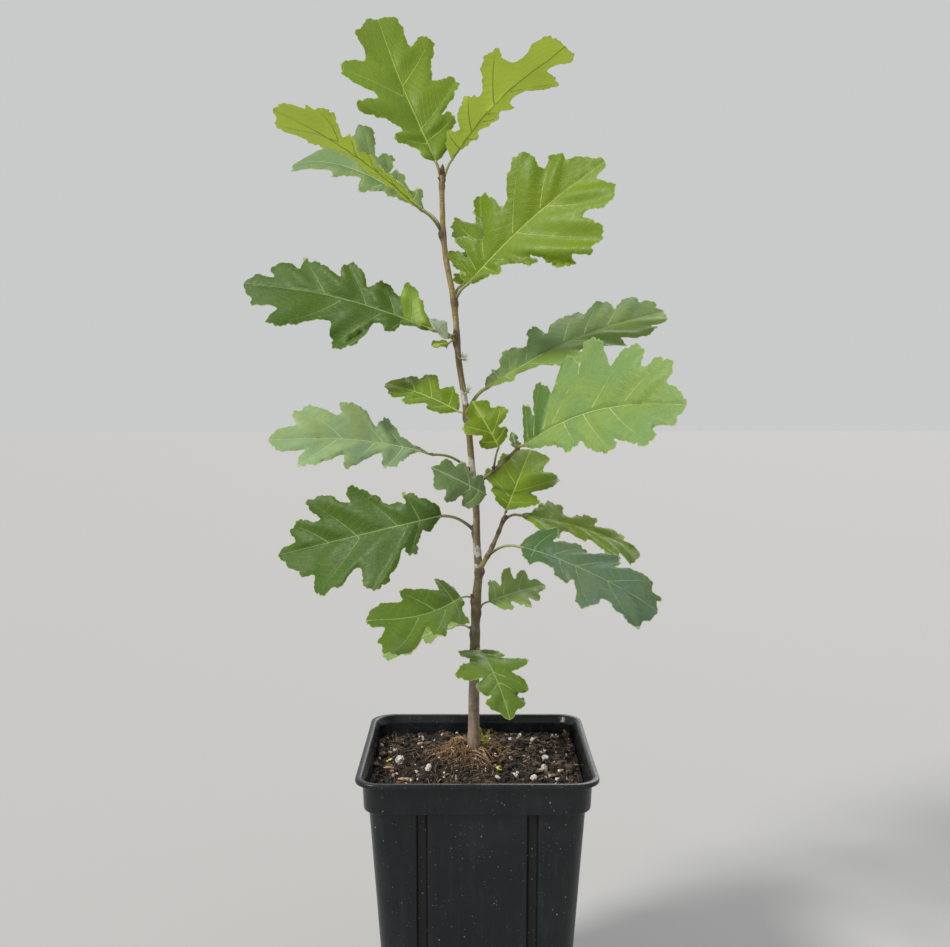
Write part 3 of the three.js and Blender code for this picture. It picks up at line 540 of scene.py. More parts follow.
class Blade:
    """One leaf's blade: the frame it lies in, its edge and its surface."""

    def __init__(self, leaf, seed):
        self.leaf = leaf
        self.seed = seed
        self.base, self.tip, face = (np.array(row, float) for row in (leaf.base, leaf.tip, leaf.face))
        self.length = float(np.linalg.norm(self.tip - self.base))
        along = unit(self.tip - self.base)
        self.upward = unit(face - along * (face @ along))
        self.right = np.cross(along, self.upward)
        self.middle = (self.base + self.tip) / 2 + 2 * leaf.bow * self.upward
        self.midrib_end = self.length * MIDRIB_SHARE
        self.stalk_radius = max(STALK_LEAST_RADIUS, self.length * STALK_RADIUS_SHARE)
        self.sides = {}
        self.veins = {}
        edges = ((leaf.left, SIDES["left"]), (leaf.right, SIDES["right"]))
        self.outline = {sign: self.read_edge(text, sign) for text, sign in edges}
        self.widest = max(np.abs(line[:, 1]).max() for line in self.outline.values())

    def chance(self, place):
        """A repeatable number from 0 to 1 that is this leaf's own."""
        return chance(self.seed, place)

    def angle(self, share):
        """The angle between the midrib and the side vein that starts at a share of it."""
        spread = BASE_SPREAD * np.maximum(0, 1 - share / BASE_SPREAD_SHARE) ** 2
        return VEIN_ANGLE * np.sqrt(np.maximum(0, 1 - share**VEIN_ANGLE_HOLD)) + spread

    def sway(self, along):
        """How far the midrib bends to the right, at a distance along the leaf."""
        return self.leaf.sway * np.sin(math.pi * np.clip(along / self.length, 0, 1))

    def read_edge(self, text, sign):
        """Reads an edge's points into a fine toothed line, and keeps its side veins, lobes and reach."""
        groups = [[tuple(map(float, spot.split(","))) for spot in part.split()] for part in text.split("|")]
        lobes = len(groups) - 1
        spots = [(0, 0)]
        marks = {0: 0.0}
        for number, group in enumerate(groups):
            if number < lobes:
                furthest = max(range(len(group) - 1), key=lambda k: group[k][1] + 0.5 * group[k][0])
                marks[len(spots) + furthest] = number + 0.5
                marks[len(spots) + len(group) - 1] = number + 1.0
            spots.extend(group)
        ends = [spots[place] for place, mark in marks.items() if mark % 1 == 0.5]
        self.veins[sign] = [self.side_vein(along, sign * across, sign) for along, across in ends]
        marks[len(spots)] = lobes + 0.5
        spots.append((self.length, 0))
        line = smooth_line(spots, LINE_STEPS)
        run = run_along(line)
        places = sorted(marks)
        runs = [run[LINE_STEPS * place] for place in places]
        phase = np.interp(run, runs, [marks[place] for place in places])
        line = line + self.teeth(line, run, phase, sign)
        count = max(12, int(run[-1] / EDGE_STEP))
        line = sample(line, run, np.linspace(0, run[-1], count))
        line[:, 1] *= sign
        start, reach = self.rays(line[:, 0], line[:, 1], sign)
        start = np.maximum.accumulate(start) + np.arange(len(start)) * 1e-6
        self.sides[sign] = (lobes, start, reach)
        return line

    def teeth(self, line, run, phase, sign):
        """How far an edge's points move out or in for small teeth and scallops, less so in the bays."""
        bay = np.cos(math.pi * (phase - 0.5)) ** 2
        fade = np.minimum(1, np.minimum(run, run[-1] - run) / EDGE_FADE)
        drift = 0.8 * np.sin(run / 7.3 + 9 * self.chance(sign))
        tooth = run / TOOTH_STEP + drift / math.pi
        strength = 0.3 + 0.9 * lattice(np.floor(tooth)[:, None] * (1, 0, 0), 31 * self.seed + 7 * sign)
        teeth = TOOTH_DEPTH * (strength * np.abs(np.sin(math.pi * tooth)) ** 0.6 - 0.45)
        turn = math.pi * (run / SCALLOP_STEP + self.chance(40 + sign))
        scallops = SCALLOP_DEPTH * min(1, self.length / SCALLOP_FULL_LENGTH)
        teeth += scallops * (np.abs(np.sin(turn)) ** 0.7 - 0.62)
        ways = unit(np.gradient(line, axis=0))
        outward = np.stack([-ways[:, 1], ways[:, 0]], -1)
        return outward * (teeth * fade * (0.25 + 0.75 * bay))[:, None]

    def rays(self, along, across, sign):
        """For points on one side: the share of the midrib where their side vein starts, and its length."""
        share = np.linspace(0, 1, RAY_STEPS + 1)
        rib = share * self.midrib_end
        ahead = along[:, None] - rib
        aside = sign * (across[:, None] - self.sway(rib))
        turn = np.arctan2(np.maximum(aside, 0), ahead) - self.angle(share)
        hit = np.argmax(turn >= 0, axis=1)
        rows = np.arange(len(along))
        hit = np.where(turn[rows, hit] >= 0, hit, RAY_STEPS)
        before = np.maximum(hit - 1, 0)
        part = -turn[rows, before] / np.maximum(turn[rows, hit] - turn[rows, before], 1e-9)
        start = (before + np.clip(part, 0, 1) * (hit - before)) / RAY_STEPS
        rib = start * self.midrib_end
        return start, np.hypot(along - rib, across - self.sway(rib))

    def side_vein(self, along, across, sign):
        """A side vein from the midrib to near a lobe's end, which it goes on past, as a gently bent line."""
        end = np.array([along, across], float)
        start, _ = self.rays(end[:1], end[1:], sign)
        rib = start * self.midrib_end
        foot = np.array([rib[0], self.sway(rib)[0]])
        bend = (foot + end) / 2 + VEIN_BEND * np.array([-(end - foot)[1], (end - foot)[0]]) * sign
        return bezier(foot, bend, end, np.linspace(0, VEIN_OVERRUN, VEIN_POINTS))

    def beside_veins(self, along, across, sign):
        """Where points lie in the row of side veins, halves being on a vein, and the veins' spacing."""
        spots = np.stack([along, across], -1)
        gaps = []
        for vein in self.veins[sign]:
            nearest = ((spots[:, None] - vein[None]) ** 2).sum(-1).argmin(axis=1)
            from_vein = spots - vein[nearest]
            way = unit(np.gradient(vein, axis=0)[nearest])
            gaps.append(-sign * (way[:, 0] * from_vein[:, 1] - way[:, 1] * from_vein[:, 0]))
        count = len(gaps)
        typical = self.midrib_end / (count + 1) * 0.8
        phase = np.clip(0.5 + gaps[0] / typical, 0.03, None)
        spacing = np.full(len(spots), typical)
        for k in range(1, count):
            apart = np.maximum(gaps[k - 1] - gaps[k], 0.5)
            between = (gaps[k - 1] > 0) & (gaps[k] <= 0)
            phase = np.where(between, k - 0.5 + gaps[k - 1] / apart, phase)
            spacing = np.where(between, apart, spacing)
        phase = np.where(gaps[-1] > 0, count - 0.5 + np.minimum(gaps[-1] / typical, 0.95), phase)
        return phase, spacing

    def net(self):
        """The flat blade as triangles: points along and across it, with a crease along the midrib."""
        rib = np.linspace(0, self.length, max(8, int(self.length / RIB_STEP)))[1:-1]
        rib = np.stack([rib, self.sway(rib)], -1)
        edge = np.concatenate([self.outline[1], self.outline[-1][-2:0:-1]])
        low, high = edge.min(axis=0), edge.max(axis=0)
        fill = []
        for number, across in enumerate(np.arange(low[1], high[1], FILL_STEP * 0.87)):
            along = np.arange(low[0] + FILL_STEP / 2 * (number % 2), high[0], FILL_STEP)
            fill.append(np.stack([along, np.full(len(along), across)], -1))
        fill = np.concatenate(fill)
        shift = lattice(np.stack([fill[:, 0], fill[:, 1], 0 * fill[:, 0]], -1), 3)[:, None] - 0.5
        fill = fill + 0.3 * FILL_STEP * shift
        solid = np.concatenate([edge, rib])
        gap = np.sqrt(((fill[:, None] - solid[None]) ** 2).sum(-1)).min(axis=1)
        points = np.concatenate([solid, fill[gap > 0.62 * FILL_STEP]])
        around = np.arange(len(edge))
        loop = np.stack([around, np.roll(around, -1)], -1).tolist()
        chain = [0, *range(len(edge), len(solid)), len(self.outline[1]) - 1]
        loop.extend([a, b] for a, b in zip(chain, chain[1:]))
        flat, _, faces, *_ = delaunay_2d_cdt([Vector(p) for p in points.tolist()], loop, [], 1, 1e-4)
        used, corners = np.unique(np.array([tuple(face) for face in faces]), return_inverse=True)
        return np.array([tuple(p) for p in flat])[used], corners.reshape(-1, 3)

    def surface(self, along, across, height):
        """Points of the blade: along and across it, and at a height over its middle skin."""
        share = np.clip(along / self.length, -0.2, 1.05)
        s = share[..., None]
        tangent = unit((1 - s) * (self.middle - self.base) + s * (self.tip - self.middle))
        up = unit(np.cross(self.right, tangent))
        fold = math.radians(self.leaf.fold)
        aside = across - self.sway(along)
        start = np.where(aside < 0, self.chance(-1), self.chance(1))
        wave = self.leaf.wave * np.sin(2 * math.pi * (WAVES * share + start))
        lift = np.abs(aside) * (math.sin(fold) + wave / self.widest) + height
        spine = bezier(self.base, self.middle, self.tip, share)
        return spine + self.right * (across * math.cos(fold))[..., None] + up * lift[..., None]

    def zone(self, phase, aside):
        """How much points lie in the leaf's lit zones, above 0, or its shaded ones, below 0."""
        total = np.zeros(len(phase))
        for side, start, end, strength in self.leaf.zones:
            inside = ease((phase - start + 0.1) / 0.2) * ease((end - phase + 0.1) / 0.2)
            total += strength * inside * ease(SIDES[side] * aside + 0.5)
        return total

    def curl(self, side, phase, r, reach):
        """Turns a side's curled lobes: the distance along the vein that points keep, and their rise."""
        rise = 0
        for curl_side, lobe, degrees in self.leaf.curls:
            if curl_side == side:
                begin = CURL_START * reach
                excess = np.maximum(0, r - begin)
                bend = math.radians(degrees) * bump((phase - lobe - 0.5) / CURL_WIDTH) / (reach - begin)
                bend = np.where(np.abs(bend) < 1e-6, 1e-6, bend)
                r = np.where(excess > 0, begin + np.sin(bend * excess) / bend, r)
                rise = rise + np.where(excess > 0, (1 - np.cos(bend * excess)) / bend, 0)
        return r, rise

    def skin(self, flat):
        """The blade's middle skin over its flat points, and the numbers for its shader."""
        along, across = flat.T
        edge = np.concatenate([self.outline[1], self.outline[-1]])
        margin = np.sqrt(((flat[:, None] - edge[None]) ** 2).sum(-1)).min(axis=1)
        numbers, where, height = np.zeros((len(flat), 3)), np.zeros((len(flat), 2)), np.zeros(len(flat))
        aside = across - self.sway(along)
        for side, sign in SIDES.items():
            mine = aside * sign >= -1e-6
            lobes, starts, reaches = self.sides[sign]
            start, r = self.rays(along[mine], across[mine], sign)
            phase, spacing = self.beside_veins(along[mine], across[mine], sign)
            numbers[mine] = np.stack([phase, r, spacing], -1)
            reach = np.maximum(np.interp(start, starts, reaches), np.maximum(r, LEAST_REACH))
            t = r / reach
            off = phase - np.floor(phase) - 0.5
            inner = np.sin(math.pi * t)
            pucker = self.length * PUCKER_SHARE * (0.5 - 0.5 * np.cos(2 * math.pi * off)) * inner**0.8
            ladder = LADDER * np.sin(2 * math.pi * (r / LADDER_STEP - np.abs(off) * LADDER_SLANT)) * inner
            flutter = FLUTTER * np.sin(2 * math.pi * (phase * 1.5 + self.chance(3 * sign))) * t**4
            lobe = np.clip(np.floor(phase), 0, lobes).astype(int)
            lifts = np.array([self.chance(10 + 7 * sign + k) - 0.5 for k in range(lobes + 2)])
            window = (1 - ease(start) ** 8) * np.cos(math.pi * off) ** 2
            outer = np.maximum(0, r - 0.5 * reach)
            rise = pucker + ladder + flutter * window + 2 * LOBE_LIFT * lifts[lobe] * outer * window
            r, turned_up = self.curl(side, phase, r, reach)
            angle = self.angle(start)
            rib = start * self.midrib_end
            where[mine] = np.stack([rib + r * np.cos(angle), self.sway(rib) + sign * r * np.sin(angle)], -1)
            height[mine] = rise + turned_up
        height -= MIDRIB_GROOVE * bump(aside / MIDRIB_GROOVE_HALF)
        place = np.stack([aside, along, margin], -1)
        return self.surface(where[:, 0], where[:, 1], height), numbers, place


def leaf_mesh(leaf, seed):
    """The leaf's blade and stalk in one heap: slot 0 is the blade and slot 1 the stalk."""
    blade = Blade(leaf, seed)
    flat, faces = blade.net()
    skin, veins, place = blade.skin(flat)
    a, b, c = (skin[faces[:, k]] for k in range(3))
    out = np.zeros_like(skin)
    for k in range(3):
        np.add.at(out, faces[:, k], np.cross(b - a, c - a))
    out = unit(out)
    side = np.sign((out * blade.upward).sum())
    inward = np.minimum(1, place[:, 2:] / RIM_WIDTH)
    half = (RIM_THICKNESS + (BLADE_THICKNESS - RIM_THICKNESS) * inward) / 2
    rib = blade.stalk_radius * (1 - 0.8 * np.clip(place[:, 1] / blade.length, 0, 1))
    ridge = 1.1 * rib * np.sqrt(np.maximum(0, 1 - (place[:, 0] / (1.25 * rib)) ** 2))
    top = skin + side * out * half
    under = skin - side * out * (half + ridge[:, None] * inward)
    count = len(skin)
    over = faces if side > 0 else faces[:, ::-1]
    edges = np.concatenate([over[:, (0, 1)], over[:, (1, 2)], over[:, (2, 0)]]).tolist()
    known = {tuple(edge) for edge in edges}
    rim = np.array([edge for edge in edges if (edge[1], edge[0]) not in known])
    wall = np.stack([rim[:, 1], rim[:, 0], rim[:, 0] + count, rim[:, 1] + count], -1)
    heap = Heap()
    heap.add(np.concatenate([top, under]) + LIFT, [*over, *(over[:, ::-1] + count), *wall], 0,
             veins=np.tile(veins, (2, 1)), place=np.tile(place, (2, 1)), under=np.repeat([0.0, 1.0], count),
             zone=np.tile(blade.zone(veins[:, 0], place[:, 0]), 2))
    start = place_on(leaf.limb, leaf.at)
    share = np.linspace(0, 1, 15)[:-1]
    line = start + (blade.base - start) * share[:, None]
    line[:, 2] += np.linalg.norm(blade.base - start) * STALK_ARCH_SHARE * np.sin(math.pi * share)
    rib = np.linspace(0, SUNK_SHARE, 5) * blade.length
    line = np.concatenate([line, blade.surface(rib, blade.sway(rib), np.full(5, -SUNK_DEPTH))])
    run = np.linspace(0, 1, len(line))
    radii = blade.stalk_radius * (1 + STALK_SWELL * np.exp(-run / 0.1))
    radii = radii * np.where(run > 0.8, 1 - 0.6 * (run - 0.8) / 0.2, 1)
    points, stalk_faces, _ = tube(line, radii, STALK_SIDES)
    blank = np.zeros((len(points), 3))
    blank[:, 1] = np.repeat(run, STALK_SIDES)
    heap.add(points + LIFT, stalk_faces, 1, veins=blank, place=blank, under=0.0, zone=0.0)
    return heap


class Signal:
    """A number, place or colour that comes out of a shader node, with arithmetic by more nodes."""

    def __init__(self, paint, socket):
        self.paint, self.socket = paint, socket

    def math(self, operation, other=0.0):
        return self.paint.node("Math", {0: self, 1: other}, operation=operation)

    def __add__(self, other):
        return self.math("ADD", other)

    def __sub__(self, other):
        return self.math("SUBTRACT", other)

    def __mul__(self, other):
        return self.math("MULTIPLY", other)

    def __truediv__(self, other):
        return self.math("DIVIDE", other)

    def __abs__(self):
        return self.math("ABSOLUTE")

    def span(self, low, high, start=0.0, end=1.0):
        """The signal's place between two limits, eased, and turned into a range."""
        inputs = {"Value": self, "From Min": low, "From Max": high, "To Min": start, "To Max": end}
        return self.paint.node("MapRange", inputs, interpolation_type="SMOOTHSTEP")

    def fall(self, low, high):
        """1 below two limits and 0 above them."""
        return self.span(low, high, 1.0, 0.0)


class Paint:
    """A material and its nodes."""

    def __init__(self, name):
        self.material = bpy.data.materials.new(name)
        self.material.use_nodes = True
        self.tree = self.material.node_tree

    def put(self, socket, value):
        """Links a signal to a socket, or sets the socket's own number or colour."""
        if isinstance(value, Signal):
            self.tree.links.new(value.socket, socket)
        elif hasattr(value, "__len__") and len(value) == 3 and len(socket.default_value) == 4:
            socket.default_value = (*value, 1)
        else:
            socket.default_value = value

    def node(self, kind, inputs, *outputs, **settings):
        """Adds a node, and returns the outputs that are asked for, or else its first one."""
        made = self.tree.nodes.new("ShaderNode" + kind)
        for label, value in settings.items():
            setattr(made, label, value)
        for key, value in inputs.items():
            self.put(made.inputs[key], value)
        signals = [Signal(self, made.outputs[key]) for key in outputs or (0,)]
        return signals if len(signals) > 1 else signals[0]

    def shade(self, **values):
        """Gives the shader its values, and returns the finished material."""
        for label, value in values.items():
            self.put(self.tree.nodes["Principled BSDF"].inputs[label.replace("_", " ")], value)
        return self.material

    def split(self, vector):
        return self.node("SeparateXYZ", {0: vector}, 0, 1, 2)

    def numbers(self, label):
        """The three numbers that a mesh's points carry under a label."""
        return self.split(self.node("Attribute", {}, "Vector", attribute_name=label))

    def number(self, label):
        return self.node("Attribute", {}, "Fac", attribute_name=label)

    def mix(self, share, a, b):
        return self.node("Mix", {0: share, 6: a, 7: b}, 2, data_type="RGBA")

    def layers(self, colour, *coats):
        """A colour with coats over it, each typed as its share and its colour."""
        for share, coat in coats:
            colour = self.mix(share, colour, coat)
        return colour

    def ramp(self, value, bands):
        """The colour at a level among bands, each typed as its level and its colour."""
        made = self.tree.nodes.new("ShaderNodeValToRGB")
        top = bands[-1][0]
        stops = made.color_ramp.elements
        while len(stops) < len(bands):
            stops.new(0.5)
        for stop, (level, colour) in zip(stops, bands):
            stop.position = level / top
            stop.color = (*colour, 1)
        self.put(made.inputs[0], value / top)
        return Signal(self, made.outputs[0])

    def place(self, scale=(1, 1, 1)):
        """The surface's place in the part's frame, in millimetres times a scale."""
        where = self.node("TexCoord", {}, "Object")
        return self.node("VectorMath", {0: where, 1: [s / MM for s in scale]}, operation="MULTIPLY")

    def noise(self, size, detail=3.0, scale=(1, 1, 1)):
        inputs = {"Vector": self.place(scale), "Scale": 1 / size, "Detail": detail, "Roughness": 0.55}
        return self.node("TexNoise", inputs, "Fac")

    def cells(self, size, *outputs, feature="F1", scale=(1, 1, 1)):
        inputs = {"Vector": self.place(scale), "Scale": 1 / size}
        return self.node("TexVoronoi", inputs, *outputs, feature=feature)

    def relief(self, *bumps):
        """Bumps over each other, each typed as its pattern and its height in millimetres."""
        below = {}
        for pattern, height in bumps:
            inputs = {"Height": pattern, "Distance": height * MM, "Strength": 1.0, **below}
            below = {"Normal": self.node("Bump", inputs)}
        return below["Normal"]


# The leaves' tones: colour of the upper side, the underside and the veins, and roughness.
TONES = {
    "fresh": ((0.120, 0.202, 0.003), (0.260, 0.370, 0.030), (0.38, 0.46, 0.09), 0.46),
    "lime": ((0.165, 0.265, 0.018), (0.280, 0.390, 0.050), (0.42, 0.52, 0.12), 0.5),
    # This tone paints backlight: both sides are painted bright yellow-green as light shining through the
    # leaf from behind, with the veins darker against it.
    "glow": ((0.200, 0.300, 0.020), (0.600, 0.760, 0.085), (0.24, 0.29, 0.03), 0.5),
    "deep": ((0.046, 0.104, 0.004), (0.190, 0.280, 0.070), (0.22, 0.32, 0.10), 0.48),
    "ice": ((0.420, 0.510, 0.370), (0.420, 0.500, 0.380), (0.55, 0.65, 0.42), 0.5),
    "mid": ((0.064, 0.128, 0.008), (0.200, 0.290, 0.070), (0.24, 0.34, 0.10), 0.45),
    "pale": ((0.168, 0.274, 0.070), (0.270, 0.360, 0.110), (0.40, 0.50, 0.18), 0.48),
    "silver": ((0.260, 0.375, 0.170), (0.300, 0.400, 0.180), (0.46, 0.56, 0.28), 0.48),
    "frost": ((0.142, 0.226, 0.074), (0.260, 0.350, 0.150), (0.36, 0.48, 0.22), 0.5),
    "teal": ((0.078, 0.135, 0.070), (0.200, 0.280, 0.130), (0.20, 0.29, 0.16), 0.46),
}
LIT_GREEN = (0.190, 0.300, 0.030)
SHADED_GREEN = (0.040, 0.105, 0.008)
RIM_GREEN = (0.46, 0.52, 0.22)

# The stem's bark: colours by height, heights that are silvery, and colours of the marks on it.
BARK_BANDS = [
    (0, (0.150, 0.100, 0.062)), (14, (0.330, 0.250, 0.185)), (44, (0.310, 0.230, 0.150)),
    (60, (0.210, 0.160, 0.065)), (100, (0.165, 0.135, 0.045)), (135, (0.185, 0.150, 0.052)),
    (185, (0.215, 0.160, 0.060)), (205, (0.215, 0.150, 0.060)), (262, (0.190, 0.132, 0.055)),
    (284, (0.320, 0.230, 0.065)), (330, (0.340, 0.255, 0.085)), (378, (0.345, 0.262, 0.090)),
]
SILVER_BANDS = [(123, 127), (131, 138), (182, 196), (231, 239)]
SHOOT_BANDS = [(0, (0.210, 0.165, 0.065)), (1, (0.290, 0.240, 0.085))]
GRAIN_DARK = (0.02, 0.015, 0.01)
SILVER_FILM = (0.42, 0.40, 0.37)
SILVER_PATCH = (0.60, 0.58, 0.54)
CROSS_MARK = (0.38, 0.30, 0.20)
RING_DARK = (0.035, 0.024, 0.016)
KNOT_DARK = (0.060, 0.038, 0.020)

# Specks of dust on the pot: spacing, share of places that stay empty, size of a cluster, and strength.
DUST = [(2.6, 0.72, 24, 0.7), (1.5, 0.66, 13, 0.75), (1.1, 0.5, 9, 0.5)]
DUST_COLOUR = (0.30, 0.29, 0.27)


def tint(colour, *shares):
    """A colour times one share, or times a share each for red, green and blue."""
    return tuple(c * k for c, k in zip(colour, shares * (3 // len(shares))))


def leaf_paint(name, top, under, vein, rough):
    """A blade's green, with its veins, fine net, pale rim and paler underside."""
    paint = Paint("leaf_" + name)
    phase, r, spacing = paint.numbers("veins")
    across, along, margin = paint.numbers("place")
    below, zone = paint.number("under"), paint.number("zone")
    off = abs(phase.math("FRACT") - 0.5)
    taper = margin / (r + margin).math("MAXIMUM", 0.1)
    side = (off * spacing / (taper * 0.36 + 0.13)).fall(0.5, 1.5) * taper.span(0.02, 0.22)
    rib = (abs(across) / (along * -0.003 + 0.52).math("MAXIMUM", 0.18)).fall(0.6, 1.4)
    rungs = off * -3.2 + r / 4.2 + paint.noise(9, 1) * 0.7
    rungs = abs(rungs.math("FRACT") - 0.5).fall(0.02, 0.09)
    net = paint.cells(1.5, "Distance", feature="DISTANCE_TO_EDGE").fall(0.0, 0.13)
    patch = paint.noise(26).span(0.36, 0.66)
    fine = paint.noise(3.5).span(0.3, 0.7)
    upper = paint.layers(
        tint(top, 0.86, 0.94, 1.05), (patch, tint(top, 1.15, 1.06, 0.85)), (fine * 0.35, tint(top, 0.72)),
        (rungs * 0.12, vein), (net * 0.14, vein), (zone.math("MAXIMUM"), LIT_GREEN),
        ((zone * -1.0).math("MAXIMUM"), SHADED_GREEN),
    )
    lower = paint.layers(under, (patch * 0.5, tint(under, 0.82)), (rungs * 0.3, tint(under, 0.7)))
    lines = (side * 0.75).math("MAXIMUM", rib * 0.9)
    colour = paint.layers(upper, (below, lower), (lines, vein), (margin.fall(0.1, 0.4) * 0.55, RIM_GREEN))
    sunk = rungs * 0.3 + net * 0.12 + side.math("MAXIMUM", rib)
    relief = paint.relief((sunk * (below * 2.0 - 1.0), 0.22), (fine, 0.06))
    gloss = below * 0.16 + fine * 0.12 + (rough - 0.06)
    return paint.shade(Base_Color=colour, Roughness=gloss, Normal=relief, Specular_IOR_Level=0.26)


def stalk_paint():
    """A stalk: brownish where it leaves its limb, pale yellow-green towards the blade."""
    paint = Paint("leaf_stalk")
    run = paint.numbers("veins")[1]
    colour = paint.layers((0.085, 0.055, 0.026), (run.span(0.04, 0.45), (0.27, 0.27, 0.085)),
                          (paint.noise(1.6).span(0.45, 0.75, 0.0, 0.4), (0.10, 0.075, 0.035)))
    return paint.shade(Base_Color=colour, Roughness=0.5, Normal=paint.relief((paint.noise(0.8), 0.08)))


def bark_paint(name, bands, silver, silver_bands=()):
    """Young bark: coloured bands by height, dark knots, silvery patches and small pale cross marks."""
    paint = Paint(name)
    height, knot, _ = paint.numbers("bark")
    plain = paint.ramp(height + paint.noise(9, 2) * 24.0 - 12.0, bands)
    grain = paint.noise(1.1, 4, (1, 1, 0.22))
    film = paint.noise(7, 3, (1, 1, 0.45)).span(0.53, 0.66) * silver
    colour = paint.layers(plain, (0.45, GRAIN_DARK), (grain.span(0.3, 0.72), plain), (film, SILVER_FILM))
    level = height + paint.noise(3, 2) * 10.0 - 5.0
    for low, high in silver_bands:
        band = level.span(low - 1, low + 1) * level.fall(high - 1, high + 1)
        colour = paint.mix(band * grain.span(0.35, 0.6, 0.35, 0.85), colour, SILVER_PATCH)
    marks = paint.cells(3.1, "Distance", scale=(0.62, 0.62, 1.7)).fall(0.1, 0.2) * 0.55
    rings = paint.noise(1.3, 3, (0.15, 0.15, 1))
    colour = paint.layers(colour, (marks, CROSS_MARK), (rings.span(0.52, 0.7, 0.0, 0.4), RING_DARK),
                          (knot, KNOT_DARK))
    relief = paint.relief((rings, 0.22), (grain, 0.18), (marks, 0.25))
    return paint.shade(Base_Color=colour, Roughness=grain.span(0.3, 0.7, 0.5, 0.68), Normal=relief)


def plain_paint(name, dark, light, size, rough, relief, scale=(1, 1, 1)):
    """Two tones of a colour mixed by noise, with a bump: for small rough things."""
    paint = Paint(name)
    fine = paint.noise(size, 4, scale)
    colour = paint.mix(fine.span(0.32, 0.68), dark, light)
    return paint.shade(Base_Color=colour, Roughness=rough, Normal=paint.relief((fine, relief)))


def pot_paint():
    """Black moulded plastic: painted shade in the channels, faint scuffs, specks of dust in clusters and a
    dusty film.
    """
    paint = Paint("black_plastic")
    film = paint.noise(38, 4).span(0.42, 0.72)
    streak = paint.noise(5, 4, (1, 1, 0.16)).span(0.5, 0.74)
    x, y, z = paint.split(paint.place())
    # Painted shade: the channels below the band are painted nearly black, as shade deep in the recesses, and
    # made rougher there.
    from_channel = abs(abs(x) - CHANNEL_OFFSET).math("MINIMUM", abs(abs(y) - CHANNEL_OFFSET))
    rim = CHANNEL_HALF_WIDTH - 0.8
    painted_channel_shade = from_channel.fall(rim - 1, rim) * z.fall(BAND_FOOT - 2, BAND_FOOT)
    colour = paint.layers((0.0018, 0.0034, 0.0052), (film, (0.0068, 0.0090, 0.0118)),
                          (streak * 0.35, (0.020, 0.021, 0.022)), (painted_channel_shade * 0.85, (0.0012, 0.0013, 0.0014)))
    for size, empty, cluster, strength in DUST:
        distance, own = paint.cells(size, "Distance", "Color")
        spot = (paint.split(own)[0].span(empty, 1.0, 0.0, 0.24) - distance).span(0.0, 0.06)
        spot = spot * paint.noise(cluster).span(0.5, 0.62)
        colour = paint.mix(spot * strength, colour, DUST_COLOUR)
    gloss = painted_channel_shade * 0.25 + film * 0.14 + streak * 0.12 + 0.26
    relief = paint.relief((paint.noise(0.7), 0.035), (paint.noise(17, 2), 0.5))
    return paint.shade(Base_Color=colour, Roughness=gloss, Normal=relief, Specular_IOR_Level=0.42)


def soil_paint():
    """Dark moist potting mix."""
    paint = Paint("potting_mix")
    coarse = paint.noise(6, 5).span(0.35, 0.68)
    fine = paint.noise(1.2, 5)
    colour = paint.layers((0.0035, 0.0026, 0.0020), (coarse, (0.014, 0.0090, 0.0060)),
                          (fine.span(0.56, 0.72, 0.0, 0.7), (0.048, 0.028, 0.015)))
    return paint.shade(Base_Color=colour, Roughness=0.85, Normal=paint.relief((fine, 0.9)))


def rounded(corners, steps):
    """A line through rows of numbers, with each corner rounded by the radius that is its last number."""
    rows = np.array(corners, float)
    spots, radii = rows[:, :-1], rows[:, -1]
    line = [spots[0]]
    for before, here, after, radius in zip(spots, spots[1:], spots[2:], radii[1:]):
        if radius == 0:
            line.append(here)
            continue
        back, on = (np.linalg.norm((other - here)[:2]) for other in (before, after))
        a = here + (before - here) * min(0.5, radius / max(back, 1e-6))
        b = here + (after - here) * min(0.5, radius / max(on, 1e-6))
        line.extend(bezier(a, here, b, np.linspace(0, 1, steps)))
    return np.array([*line, spots[-1]])


def pot_ring(half, z, corner, channel):
    """One level of the pot: a rounded square with two soft-edged channels in each side."""
    across = np.linspace(-1, 1, 9)
    dip = half - channel * (1 - ease((np.abs(across) - 0.45) / 0.5))
    middle = across[1:-1] * (CHANNEL_OFFSET - CHANNEL_HALF_WIDTH)
    arc = np.linspace(0, math.pi / 2, 13)
    channel_run = CHANNEL_HALF_WIDTH * across
    along = np.concatenate([channel_run - CHANNEL_OFFSET, middle, channel_run + CHANNEL_OFFSET,
                            half - corner + corner * np.sin(arc)])
    out = np.concatenate([dip, [half] * len(middle), dip, half - corner + corner * np.cos(arc)])
    ring = []
    for turn in np.arange(4) * math.pi / 2:
        x = along * math.cos(turn) + out * math.sin(turn)
        y = along * math.sin(turn) - out * math.cos(turn)
        ring.append(np.stack([x, y, np.full(len(x), z)], -1))
    return np.concatenate(ring)


def body_half(z):
    """Half the width of the pot's body outside, which tapers evenly to the foot."""
    return BODY_FOOT_HALF + (BODY_TOP_HALF - BODY_FOOT_HALF) * z / BAND_FOOT


def loft(rings):
    """Points and faces of a closed solid through rings, with a face over each end."""
    return np.concatenate(rings), capped(len(rings), len(rings[0]))


